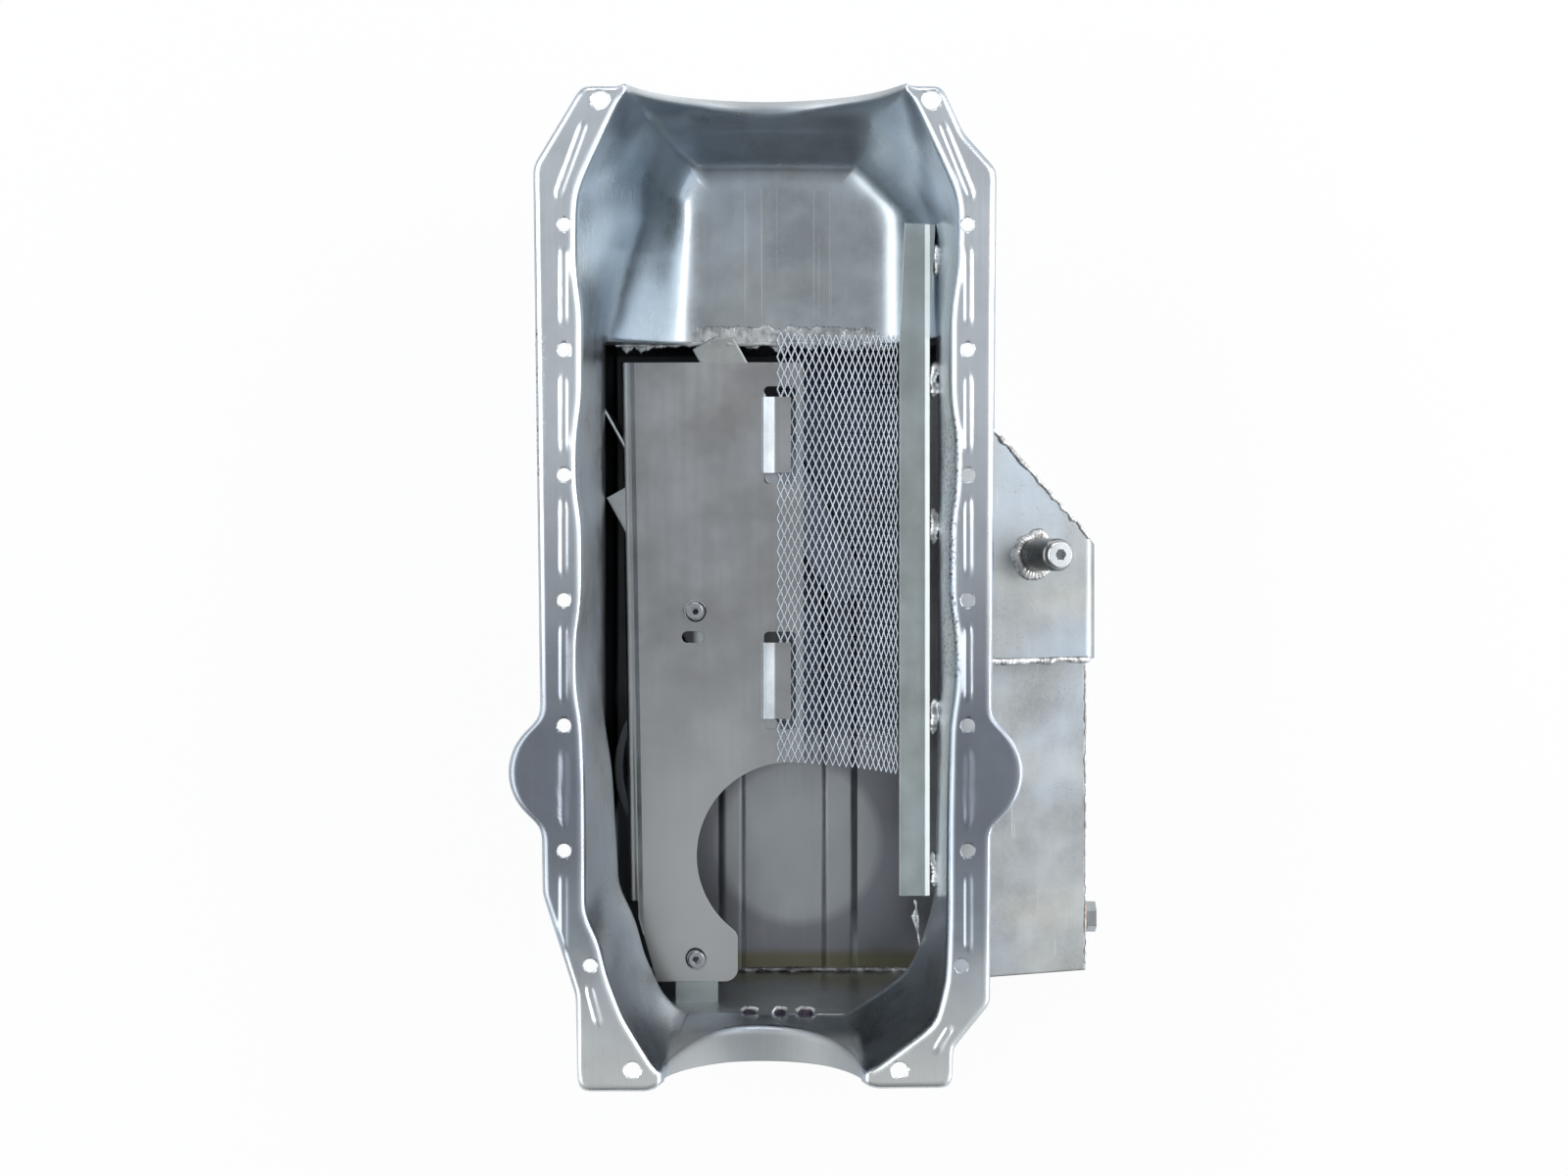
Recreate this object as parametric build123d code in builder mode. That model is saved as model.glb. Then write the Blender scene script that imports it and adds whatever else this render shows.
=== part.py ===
"""Steel oil pan for an eight-cylinder engine, with a kick-out sump and a windage tray.

Frame: the gasket face of the rail is z = 0 and the pan hangs below it. The origin is
the centre of the twelve side bolt holes. +Y is the front of the engine and +X is the
side that the kick-out stands on. All sizes are in millimetres.
"""
from build123d import *
import math
import os

os.makedirs("parts", exist_ok=True)

# Sheet and depths
sheet = 1.5
cut_z = -78.0               # the stamped pan is cut off here behind the front section
front_floor_z = -112.0      # inside face of the shallow front section
sump_z = -200.0             # underside of the sump
tray_z = -110.5             # underside of the tray, top of the baffle flanges

# Bolt pattern of the rail
side_bolt_x = 113.3
bolt_pitch = 70.3
bolt_hole_d = 7.9
front_bolt_x = 93.0
front_bolt_y = 245.5
front_bolt_d = 10.5
rear_side_left = (-98.7, -240.3)
rear_side_right = (109.7, -240.3)
rear_bolt_x = 75.0
rear_bolt_y = -299.0
rear_bolt_d = 9.5

# Rail
rail_lip = 5.0              # height of the turned-down outer edge
rail_edge_r = 2.4
mouth_bend_r = 4.0          # bend from the rail down into the wall
rail_corner_r = 5.0
ear_x = 112.3
ear_y = -132.0
ear_r = 32.7
ear_blend_r = 12.0
bead_length = 41.0
bead_width = 4.5
bead_rise = 1.0
bead_x = 113.6

# Mouth of the pan, inside edge of the rail
bay_x = 103.2               # half width between the wall bulges
bulge = 3.4                 # how far a bulge stands out beside a crank throw
bulge_ramp = 9.0
bulge_half = 20.0
bulge_ys = (42.5, -71.0)
front_bay_x = 107.6         # half width of the mouth beside the front section
front_bay_ys = (192.0, 145.0)
mouth_front_y = 253.6
mouth_front_x = 79.3
front_cut_y = 117.0         # where the front floor ends and the sump begins

# Walls of the front section
front_knee_z = -60.0        # bottom of the front seal arc
front_knee_y = 250.0
front_step_y = 238.0
floor_front_y = 224.0
floor_left_x = -50.0
floor_right_x = 79.0
left_shoulder_x = -76.0     # left wall at the cut depth, front section
right_shoulder_x = 101.0

# Seal arcs at the two ends
front_arc_r = 83.0
front_arc_z = 23.0
front_arc_x = -1.0
front_lip_y = 255.3
rear_arc_r = 57.5
rear_arc_x = -2.0
rear_lip_y = -305.7

# Sump box and kick-out
sump_left_x = -98.0         # inside face of the left wall
sump_right_x = 102.5        # inside face of the short right wall
sump_rear_y = -277.0        # inside face of the rear wall at the floor
rear_wall_lean = 5.0        # the rear wall leans back this far up to the cut
shelf_y = -190.0            # the shelf under the pan's rear left corner starts here
top_flange = 12.0           # the left wall's top edge is turned in towards the pan
kick_x = 190.0              # inside face of the kick-out's outer wall
kick_rear_y = -258.0
kick_corner_y = -2.5        # where the diagonal front wall meets the outer wall
kick_front_y = 93.0         # where it meets the side of the pan
step_y = -70.5
cap_edge_z = -63.0
cap_slope = 19.0            # degrees
cap_bend_r = 8.0
cap_skirt = 22.0
rear_top_edge_z = -100.0
rear_top_slope = 23.0       # degrees
wall_top_z = -26.0          # uncut height of the walls, before they are trimmed to the pan
floor_bead_rise = 1.6
floor_bead_xs = (-22.5, 46.0)
floor_bead_widths = (9.5, 14.5)
floor_bead_front_y = -8.0
floor_bead_rear_y = -264.0
fold_r = 2.5                # inside radius of the folds in the sump's sheets

# Windage tray
tray_left_front = (-83.4, 106.4)
tray_left_rear = (-78.0, -219.3)
tray_right_x = 22.0
tray_lip_r = 5.0
tray_lip_drop = 9.0
tray_rear_y = -268.0
lobe_right_x = -17.5
lobe_left = ((-66.5, -268.0), (-77.4, -230.0))
lobe_r = 8.0
bracket_width = 25.6
bracket_front_y = -243.0
bracket_drop = 14.0
well_x = 13.9               # round cut-out over the pickup
well_y = -192.0
well_r = 56.4
tab_ys = (62.5, -86.0)
tab_length = 46.0
tab_left_x = -3.3
tab_right_x = 14.5
window_length = 59.0
window_right_x = 17.5
front_screw = (-43.6, -43.7)
rear_screw = (-42.4, -254.5)
slot_length = 14.0
slot_width = 7.0
slot_gap = 16.0

# Screen of expanded metal, with a coarse mesh here
screen_sheet = 1.2
screen_left_x = 6.2
screen_front_y = 127.3
screen_rear_y = -135.5
screen_gap = 0.1            # between the screen and the tabs over it
screen_bar_gap = 0.1396     # sideways, between the screen's high edge and the bar
screen_bar_drop = 2.51985   # how far that edge lies below the bar's top
strand = 1.3                # width of the mesh's strands, half of it here
diamond_columns = 5
diamond_rows = 13

# Bar that carries the screen's high edge
bar_width = 17.9
bar_left_x = 78.4
bar_top_z = -71.5
bar_flange = 7.0
bar_front_y = 185.0
bar_kink_y = 117.0
bar_rear_y = -211.0
bar_shift = 3.2
stitch_ys = (165.0, 94.0, 7.5, -105.0, -195.0)
stitch_length = 22.0
stitch_r = 3.8

# Angled baffles with trap doors
baffle_angle = -61.0        # degrees, direction of the baffles seen from above
baffle_corner = (-97.1, 24.6)
baffle_width = 25.5
baffle_length = 178.0
baffle_spacing = 89.0
baffle_front_start = -53.4
door_width = 62.0
door_head = 20.0            # from the tray's underside down to the hinge line
door_sheet = 1.5
door_at_rear = 80.0         # middle of the rear doorway along the baffle
door_at_front = 45.0        # middle of the front doorway along the baffle
door_sill = 12.0
door_lap = 4.0
door_gap = 0.3
pin_r = 1.5
pin_clearance = 0.08
middle_knuckle = 24.0       # length of the wall's knuckle between the door's two
flange_front_y = 122.0      # the front baffle's flange is clipped here, on the front floor
curved_baffle_centre = (-30.8, -139.5)
curved_baffle_r = 62.0
curved_baffle_flange = 5.4
curved_baffle_top_z = -119.0
curved_baffle_from = 150.0  # degrees
curved_baffle_sweep = 68.0

# Fasteners and bungs
screw_r = 3.0
screw_head_r = 5.4
screw_head_h = 3.6
socket_af = 4.0
washer_r = 6.6
washer_t = 1.2
nut_af = 11.0
nut_h = 6.0
hole_clearance = 0.3
boss_x = 156.0
boss_y = -9.7
boss_r = 9.3
boss_length = 32.0
boss_bore_r = 6.4
plug_length = 14.0
plug_flange_r = 7.6
plug_flange_h = 3.0
drain_y = -238.0
drain_height = 28.0         # above the sump's underside
drain_bung_r = 14.0
drain_bung_out = 7.0
drain_spigot_r = 9.0
drain_bore_r = 6.4
drain_washer_t = 2.0
drain_washer_r = 10.5
drain_head_af = 16.6
drain_head_h = 6.0
thread_clearance = 0.05

# Values worked out from the ones above
side_bolt_ys = [bolt_pitch * (k - 2.5) for k in range(6)]
bead_ys = [bolt_pitch * (k - 2) for k in range(5)] + [-bolt_pitch * 3]
floor_z = sump_z + sheet
hinge_z = tray_z - door_head
door_height = hinge_z - floor_z - door_sill
drain_z = sump_z + drain_height
# The screen's arc leaves the tabs level and ends at the bar's left edge
screen_span = bar_left_x - screen_bar_gap - tab_right_x
screen_rise = bar_top_z - screen_bar_drop - (tray_z + sheet)
screen_r = (screen_span ** 2 + screen_rise ** 2) / (2 * screen_rise)
screen_turn = 2 * math.degrees(math.atan2(screen_rise, screen_span))
cap_tan = math.tan(math.radians(cap_slope))
rear_top_tan = math.tan(math.radians(rear_top_slope))
cap_drop = sheet / math.cos(math.radians(cap_slope))
rear_top_drop = sheet / math.cos(math.radians(rear_top_slope))
kick_out_x = kick_x + sheet
cap_out_x = kick_out_x + sheet
cap_in_x = bay_x / 2        # the kick-out's tops are drawn in to here, then trimmed


def cap_z(x):
    """Height of the cap's top face."""
    return cap_edge_z + (cap_out_x - x) * cap_tan


def rear_top_z(x):
    """Height of the rear top's upper face."""
    return rear_top_edge_z + (kick_out_x - x) * rear_top_tan


def bulge_points(side):
    """Inside edge of the rail along the crank bulges, front to rear, on one side."""
    points = [(side * front_bay_x, front_bay_ys[1]), (side * bay_x, front_bay_ys[1] - bulge_ramp)]
    for y in bulge_ys:
        points.append((side * bay_x, y + bulge_half + bulge_ramp))
        points.append((side * (bay_x + bulge), y + bulge_half))
        points.append((side * (bay_x + bulge), y - bulge_half))
        points.append((side * bay_x, y - bulge_half - bulge_ramp))
    return points


# Inside corners behind the last bulge: each pair is the point at the rail and the
# point straight under it on the wall, at the depth where the pan is cut off.
rear_left = (
    ((-102.1, -136.0), (-91.0, -136.0)),
    ((-102.1, -213.0), (-87.0, -205.0)),
    ((-94.0, -228.0), (-77.5, -225.0)),
    ((-89.5, -248.0), (-72.0, -246.0)),
    ((-81.0, -270.0), (-62.0, -268.0)),
    ((-61.7, -301.5), (-51.0, -279.5)),
)
rear_right = (
    ((102.0, -160.0), (100.8, -160.0)),
    ((101.7, -214.0), (99.0, -214.0)),
    ((100.8, -250.0), (89.5, -244.0)),
    ((95.0, -274.5), (82.0, -257.0)),
    ((77.8, -287.0), (66.0, -269.0)),
    ((60.6, -300.0), (45.0, -282.0)),
)
wall_cut_x = (-97.2, 101.5)     # walls at the cut depth, beside the crank bulges

# Beads at the rail's corners: middle, direction in degrees and length
corner_beads = [
    (-109.5, 212.0, 70, 44.0), (107.5, 211.5, 112, 44.0),
    (-96.5, -263.0, 105, 22.0), (99.5, -281.5, 58, 16.0),
]

mouth_left = [(-mouth_front_x, mouth_front_y), (-front_bay_x, front_bay_ys[0])]
mouth_left += bulge_points(-1) + [top for top, low in rear_left]
mouth_right = [(mouth_front_x, mouth_front_y), (front_bay_x, front_bay_ys[0])]
mouth_right += bulge_points(1) + [top for top, low in rear_right]
mouth = mouth_left + mouth_right[::-1]

# Outer edge of the rail, front to rear
rail_left = (
    (-81.0, 254.0), (-104.0, 254.0), (-131.0, 209.0), (-125.7, -200.0),
    (-107.0, -258.0), (-106.0, -311.6), (-67.0, -311.6), (-58.0, -308.5),
)
rail_right = (
    (79.0, 254.0), (99.0, 254.0), (111.0, 228.0), (129.7, 207.0), (126.0, -262.0),
    (105.0, -288.0), (105.0, -309.5), (63.0, -310.0), (54.0, -308.0),
)


def rail_outline(inset):
    """The rail's outer outline with its two ears, drawn in by a given width."""
    with BuildSketch() as outline:
        with BuildLine():
            Polyline(*rail_left, *rail_right[::-1], close=True)
        make_face()
        fillet(outline.vertices(), rail_corner_r)
        with Locations((-ear_x, ear_y), (ear_x, ear_y)):
            Circle(ear_r)
        ear_feet = [v for v in outline.vertices() if abs(v.Y - ear_y) < ear_r and abs(v.X) > ear_x]
        fillet(ear_feet, ear_blend_r)
        if inset:
            offset(amount=-inset)
    return outline.sketch


def outline_face(points, height, grow):
    """A closed outline at a height, moved outwards by a given width."""
    with BuildSketch(Plane.XY.offset(height)) as face:
        with BuildLine():
            Polyline(*points, close=True)
        make_face()
        if grow:
            offset(amount=grow, kind=Kind.INTERSECTION)
    return face.sketch


def ruled(lower, upper):
    """A solid with straight lines between two outlines that have as many corners."""
    with BuildPart() as body:
        add(lower)
        add(upper)
        loft(ruled=True)
    return body.part


def rear_form(grow):
    """Inside of the pan behind the front section, from the rail to the cut."""
    lead = front_cut_y + 2 * bulge_ramp
    tops = {}
    for side, corners in ((-1, rear_left), (1, rear_right)):
        wall = wall_cut_x[0] if side < 0 else wall_cut_x[1]
        upper = [(side * bay_x, lead)] + bulge_points(side)[2:] + [top for top, low in corners]
        lower = [(wall, lead)] + [(wall, y) for x, y in bulge_points(side)[2:]]
        lower += [low for top, low in corners]
        tops[side] = (upper, lower)
    upper = tops[-1][0] + tops[1][0][::-1]
    lower = tops[-1][1] + tops[1][1][::-1]
    with BuildPart() as form:
        add(ruled(outline_face(lower, cut_z, grow), outline_face(upper, 0, grow)))
        split(bisect_by=Plane.XZ.offset(-front_cut_y), keep=Keep.TOP)
    return form.part


def corner_plane(first, second, third, grow):
    """A flat wall across a front corner through three points, moved outwards by a width."""
    normal = (Vector(*second) - Vector(*first)).cross(Vector(*third) - Vector(*first))
    if normal.Y < 0:
        normal = normal * -1
    return Plane(origin=first, z_dir=normal).offset(grow)


# Front corners, three points each: the wall under the rail and the facet below it, for
# the left corner and then for the right one
front_corners = (
    ((-mouth_front_x, mouth_front_y, 0), (-front_bay_x, front_bay_ys[0], 0), (-76.0, 234.0, -62.0)),
    ((-76.0, 234.0, -62.0), (-95.0, 196.0, -62.0), (-54.0, 232.0, -91.0)),
    ((mouth_front_x, mouth_front_y, 0), (front_bay_x, front_bay_ys[0], 0), (74.0, 245.0, -70.0)),
    ((67.0, 231.0, -75.0), (89.0, 197.6, -97.5), (66.0, 213.0, -112.0)),
)


def front_form(grow):
    """Inside of the shallow front section, from the cut forwards."""
    stations = (
        (front_cut_y, bay_x, wall_cut_x[0], wall_cut_x[1]),
        (front_bay_ys[1] - bulge_ramp, bay_x, wall_cut_x[0] + 2.5, wall_cut_x[1]),
        (front_bay_ys[1], front_bay_x, wall_cut_x[0] + 6.0, wall_cut_x[1]),
        (front_bay_ys[0], front_bay_x, left_shoulder_x, right_shoulder_x),
        (mouth_front_y + 2 * sheet, front_bay_x, left_shoulder_x, right_shoulder_x),
    )
    with BuildPart() as form:
        for y, top_x, left_x, right_x in stations:
            with BuildSketch(Plane.XZ.offset(-y)):
                with BuildLine():
                    Polyline(
                        (-top_x, 0), (left_x, cut_z), (floor_left_x, front_floor_z),
                        (floor_right_x, front_floor_z), (right_x, cut_z), (top_x, 0),
                        close=True,
                    )
                make_face()
                if grow:
                    offset(amount=grow, kind=Kind.INTERSECTION)
        loft(ruled=True)
        split(bisect_by=Plane.XY, keep=Keep.BOTTOM)
        with BuildSketch(Plane.YZ.offset(-2 * front_bay_x)):
            with BuildLine():
                Polyline(
                    (front_cut_y, 0), (mouth_front_y, 0), (front_knee_y, front_knee_z),
                    (front_step_y, cut_z), (floor_front_y, front_floor_z),
                    (front_cut_y, front_floor_z), close=True,
                )
            make_face()
            if grow:
                offset(amount=grow, kind=Kind.INTERSECTION)
        extrude(amount=4 * front_bay_x, mode=Mode.INTERSECT)
        for corner in front_corners:
            split(bisect_by=corner_plane(*corner, grow), keep=Keep.BOTTOM)
        split(bisect_by=Plane.XZ.offset(-front_cut_y), keep=Keep.BOTTOM)
    return form.part


def pan_form(grow):
    """The whole inside of the stamped pan, moved outwards by a given width."""
    with BuildPart() as form:
        add(rear_form(grow))
        add(front_form(grow))
    return form.part


def mouth_bend(radius, edge, top):
    """Three flats round the bend between rail and wall, as a funnel-shaped solid."""
    half = edge - radius * math.sin(math.pi / 4)
    steps = (
        (edge, top),
        (half, top - radius * (1 - math.cos(math.pi / 4))),
        (edge - radius, top - radius),
    )
    with BuildPart() as funnel:
        for (wide, high), (narrow, low) in zip(steps, steps[1:]):
            add(ruled(outline_face(mouth, low, narrow), outline_face(mouth, high, wide)))
    return funnel.part


def seal_arc(radius, x, z, start_y, end_y):
    """A cylinder along Y at a seal arc, between two stations."""
    with BuildPart() as drum:
        with BuildSketch(Plane.XZ.offset(-max(start_y, end_y))):
            with Locations((x, z)):
                Circle(radius)
        extrude(amount=abs(end_y - start_y))
        split(bisect_by=Plane.XY, keep=Keep.BOTTOM)
    return drum.part


def beads(grow, height):
    """Raised beads on the rail between the bolt holes and round its corners."""
    slots = [(side * bead_x, y, 90, bead_length) for side in (-1, 1) for y in bead_ys]
    slots += corner_beads
    with BuildSketch(Plane.XY.offset(height)) as pattern:
        for x, y, turn, length in slots:
            with Locations(Location((x, y), turn)):
                SlotOverall(length + grow * 2, bead_width + grow * 2)
    return pattern.sketch


pan_outer = pan_form(sheet)
pan_inner = pan_form(0)

# Stamped upper pan: rail, walls, front floor and seal lips in one sheet
with BuildPart() as pan_body:
    with BuildSketch():
        add(rail_outline(0))
    extrude(amount=-rail_lip)
    fillet(pan_body.faces().sort_by(Axis.Z)[-1].outer_wire().edges(), rail_edge_r)
    with BuildSketch(Plane.XY.offset(-sheet)):
        add(rail_outline(sheet))
    extrude(amount=-rail_lip, mode=Mode.SUBTRACT)
    add(pan_outer)
    add(mouth_bend(mouth_bend_r - sheet, mouth_bend_r, -sheet))
    add(seal_arc(front_arc_r + sheet, front_arc_x, front_arc_z, front_lip_y, front_step_y))
    add(seal_arc(rear_arc_r + sheet, rear_arc_x, 0, rear_lip_y, sump_rear_y))
    add(pan_inner, mode=Mode.SUBTRACT)
    add(mouth_bend(mouth_bend_r, mouth_bend_r, 0), mode=Mode.SUBTRACT)
    far = 4 * sheet
    add(seal_arc(front_arc_r, front_arc_x, front_arc_z, front_lip_y + far, front_cut_y), mode=Mode.SUBTRACT)
    add(seal_arc(rear_arc_r, rear_arc_x, 0, rear_lip_y - far, shelf_y), mode=Mode.SUBTRACT)
    # Nothing stands out in front of the seal lip
    with BuildSketch():
        with Locations((0, front_lip_y + rail_lip)):
            Rectangle(2 * ear_x, 2 * rail_lip)
    extrude(amount=front_floor_z, mode=Mode.SUBTRACT)
    with BuildSketch(Plane.XY.offset(-sheet)):
        add(beads(0, 0))
    extrude(amount=sheet + bead_rise)
    with BuildSketch(Plane.XY.offset(-sheet)):
        add(beads(-sheet / 2, 0))
    extrude(amount=bead_rise, mode=Mode.SUBTRACT)
    with BuildSketch(Plane.XY.offset(bead_rise)):
        with Locations(*[(side * side_bolt_x, y) for side in (-1, 1) for y in side_bolt_ys]):
            Circle(bolt_hole_d / 2)
        with Locations(rear_side_left, rear_side_right):
            Circle(bolt_hole_d / 2)
        with Locations((-front_bolt_x, front_bolt_y), (front_bolt_x, front_bolt_y)):
            Circle(front_bolt_d / 2)
        with Locations((-rear_bolt_x, rear_bolt_y), (rear_bolt_x, rear_bolt_y)):
            Circle(rear_bolt_d / 2)
    extrude(amount=-rail_lip, mode=Mode.SUBTRACT)


def save(name, part):
    """Label a finished piece and write it under its own name."""
    part.label = name
    export_step(part, "parts/" + name + ".step")


def without_offcuts(part):
    """The largest solid of a sheet that was trimmed to its neighbours."""
    with BuildPart() as kept:
        add(part.solids().sort_by(SortBy.VOLUME)[-1])
    return kept.part


save("pan_body", pan_body.part)

# Floor plan of the sump, outside faces, front left corner first
left_out = sump_left_x - sheet
right_out = sump_right_x + sheet
front_out = front_cut_y + sheet
rear_out = sump_rear_y - sheet
floor_plan = (
    (left_out, front_out), (right_out, front_out), (right_out, kick_front_y),
    (kick_out_x, kick_corner_y), (kick_out_x, kick_rear_y - sheet),
    (right_out, kick_rear_y - sheet), (right_out, rear_out), (left_out, rear_out),
)


def under_cap(drop):
    """Everything from a given depth under the cap's top face upwards, as a cutter."""
    with BuildPart() as above:
        with BuildSketch(Plane.XZ.offset(-front_out)):
            with BuildLine():
                Polyline(
                    (cap_in_x, cap_z(cap_in_x) - drop), (cap_out_x, cap_edge_z - drop),
                    (cap_out_x, 0), (cap_in_x, 0), close=True,
                )
            make_face()
        extrude(amount=front_out - step_y)
    return above.part


def under_rear_top(drop):
    """Everything from a given depth under the rear top's upper face upwards."""
    with BuildPart() as above:
        with BuildSketch(Plane.XZ.offset(-step_y)):
            with BuildLine():
                Polyline(
                    (cap_in_x, rear_top_z(cap_in_x) - drop), (kick_out_x, rear_top_edge_z - drop),
                    (kick_out_x, 0), (cap_in_x, 0), close=True,
                )
            make_face()
        extrude(amount=step_y - rear_out)
    return above.part


# Sump wrap: left wall with a turned-in top edge, ribbed floor and the kick-out's outer
# wall, folded from one sheet
with BuildPart() as sump_wrap:
    with BuildSketch(Plane.XZ.offset(-front_out)):
        for inset, mode in ((0, Mode.ADD), (sheet, Mode.SUBTRACT)):
            with BuildSketch(mode=Mode.PRIVATE) as channel:
                with BuildLine():
                    Polyline(
                        (left_out + inset, sump_z + inset), (kick_out_x - inset, sump_z + inset),
                        (kick_out_x - inset, wall_top_z), (left_out + inset, wall_top_z), close=True,
                    )
                make_face()
                fillet(channel.vertices().group_by(Axis.Y)[0], fold_r + sheet - inset)
            add(channel.sketch, mode=mode)
        with Locations((left_out, cut_z + sheet)):
            Rectangle(kick_x, -cut_z, align=(Align.CENTER, Align.MIN), mode=Mode.SUBTRACT)
            Rectangle(top_flange, sheet, align=(Align.MIN, Align.MAX))
    extrude(amount=front_out - rear_out)
    with BuildSketch(Plane.XY.offset(sump_z)):
        with BuildLine():
            Polyline(*floor_plan, close=True)
        make_face()
    extrude(amount=wall_top_z - sump_z, mode=Mode.INTERSECT)
    for grow, low, mode in ((sheet, floor_z, Mode.ADD), (0, sump_z, Mode.SUBTRACT)):
        with BuildSketch(Plane.XZ.offset(-floor_bead_front_y)):
            for x, width in zip(floor_bead_xs, floor_bead_widths):
                with Locations((x, low)):
                    Trapezoid(width + 2 * grow, floor_bead_rise, 45, align=(Align.CENTER, Align.MIN))
        extrude(amount=floor_bead_front_y - floor_bead_rear_y, mode=mode)
    with Locations((kick_x + sheet / 2, drain_y, drain_z)):
        Cylinder(drain_spigot_r + hole_clearance, 4 * sheet, rotation=(0, 90, 0), mode=Mode.SUBTRACT)
    add(pan_outer, mode=Mode.SUBTRACT)
    add(under_cap(cap_bend_r + sheet), mode=Mode.SUBTRACT)
    add(under_rear_top(rear_top_drop), mode=Mode.SUBTRACT)
save("sump_wrap", sump_wrap.part)

# Plate that closes the sump under the edge of the front floor
with BuildPart() as sump_front_wall:
    with BuildSketch(Plane.XZ.offset(-front_out)):
        with BuildLine():
            Polyline(
                (sump_left_x, floor_z), (sump_right_x, floor_z), (sump_right_x, cut_z + sheet),
                (sump_left_x, cut_z + sheet), close=True,
            )
        make_face()
    extrude(amount=sheet)
    add(pan_outer, mode=Mode.SUBTRACT)
    add(sump_wrap.part, mode=Mode.SUBTRACT)
save("sump_front_wall", sump_front_wall.part)

# Rear plate of the sump, leaning back towards the pan. Its top edge is turned forwards
# under the pan's rear corners and its right edge is folded to the kick-out.
lean = rear_wall_lean / (cut_z - floor_z)


def rear_y(z):
    """Inside face of the leaning rear wall at a height."""
    return sump_rear_y - lean * (z - floor_z)


with BuildPart() as sump_rear_wall:
    shelf_z = cut_z + sheet
    with BuildSketch(Plane.YZ.offset(sump_left_x)):
        with BuildLine():
            Polyline(
                (rear_y(floor_z), floor_z), (rear_y(shelf_z), shelf_z),
                (rear_y(shelf_z) - sheet, shelf_z), (rear_y(floor_z) - sheet, floor_z), close=True,
            )
        make_face()
    extrude(amount=right_out - sump_left_x)
    with BuildSketch(Plane.YZ.offset(sump_right_x)):
        with BuildLine():
            Polyline(
                (kick_rear_y - sheet, floor_z), (kick_rear_y - sheet, shelf_z),
                (rear_y(shelf_z) - sheet, shelf_z), (rear_out, floor_z), close=True,
            )
        make_face()
    extrude(amount=sheet)
    with BuildSketch(Plane.XY.offset(cut_z)):
        with BuildLine():
            Polyline(
                (0, kick_rear_y), (right_out, kick_rear_y), (right_out, rear_y(cut_z) - sheet),
                (left_out, rear_y(cut_z) - sheet), (left_out, shelf_y), (0, shelf_y), close=True,
            )
        make_face()
    extrude(amount=sheet)
    add(pan_outer, mode=Mode.SUBTRACT)
    add(sump_wrap.part, mode=Mode.SUBTRACT)
save("sump_rear_wall", without_offcuts(sump_rear_wall.part))

# Diagonal front wall of the kick-out, folded from the short right wall of the sump
diagonal = Vector(kick_out_x - right_out, kick_corner_y - kick_front_y)
diagonal_plane = Plane(origin=(right_out, kick_front_y, 0), z_dir=(-diagonal.Y, diagonal.X, 0))

# Cap over the front of the kick-out, with a rounded skirt down the outside
with BuildPart() as kickout_cap:
    with BuildSketch(Plane.XZ.offset(-kick_front_y)) as cap_profile:
        with BuildLine():
            Polyline(
                (cap_in_x, cap_z(cap_in_x)), (cap_out_x, cap_edge_z), (cap_out_x, cap_edge_z - cap_skirt),
                (kick_out_x, cap_edge_z - cap_skirt), (kick_out_x, cap_z(kick_out_x) - cap_drop),
                (cap_in_x, cap_z(cap_in_x) - cap_drop), close=True,
            )
        make_face()
        fillet(cap_profile.vertices().sort_by(Axis.X)[-2:].sort_by(Axis.Y)[-1], cap_bend_r + sheet)
        fillet([v for v in cap_profile.vertices() if abs(v.X - kick_out_x) < 0.01 and v.Y > cap_edge_z - 5],
               cap_bend_r)
    extrude(amount=kick_front_y - step_y)
    split(bisect_by=diagonal_plane, keep=Keep.BOTTOM)
    boss_plane = Plane(
        origin=(boss_x, boss_y, cap_z(boss_x)),
        z_dir=(math.sin(math.radians(cap_slope)), 0, math.cos(math.radians(cap_slope))),
    )
    with BuildSketch(boss_plane):
        Circle(boss_bore_r)
    extrude(amount=-2 * sheet, mode=Mode.SUBTRACT)
    add(pan_outer, mode=Mode.SUBTRACT)
save("kickout_cap", kickout_cap.part)

with BuildPart() as kickout_front_wall:
    with BuildSketch(Plane.XY.offset(floor_z)):
        with BuildLine():
            Polyline((right_out, front_cut_y), (right_out, kick_front_y), (kick_out_x, kick_corner_y))
            offset(amount=sheet, side=Side.RIGHT)
        make_face()
    extrude(amount=wall_top_z - floor_z)
    for neighbour in (
        under_cap(cap_drop), pan_outer, kickout_cap.part, sump_wrap.part, sump_front_wall.part,
    ):
        add(neighbour, mode=Mode.SUBTRACT)
save("kickout_front_wall", without_offcuts(kickout_front_wall.part))

# Sloping top behind the cap, and the plate that closes the step between the two
with BuildPart() as kickout_rear_top:
    with BuildSketch(Plane.XZ.offset(-step_y)):
        with BuildLine():
            Polyline(
                (cap_in_x, rear_top_z(cap_in_x)), (kick_out_x, rear_top_edge_z),
                (kick_out_x, rear_top_edge_z - rear_top_drop),
                (cap_in_x, rear_top_z(cap_in_x) - rear_top_drop), close=True,
            )
        make_face()
    extrude(amount=step_y - kick_rear_y + sheet)
    add(pan_outer, mode=Mode.SUBTRACT)
save("kickout_rear_top", kickout_rear_top.part)

with BuildPart() as kickout_step_plate:
    with BuildSketch(Plane.XZ.offset(-step_y - sheet)):
        with BuildLine():
            Polyline(
                (cap_in_x, rear_top_z(cap_in_x) - rear_top_drop),
                (kick_x, rear_top_z(kick_x) - rear_top_drop),
                (kick_x, wall_top_z), (cap_in_x, wall_top_z), close=True,
            )
        make_face()
    extrude(amount=sheet)
    for neighbour in (under_cap(cap_drop), pan_outer, kickout_cap.part, sump_wrap.part):
        add(neighbour, mode=Mode.SUBTRACT)
save("kickout_step_plate", kickout_step_plate.part)

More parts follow.
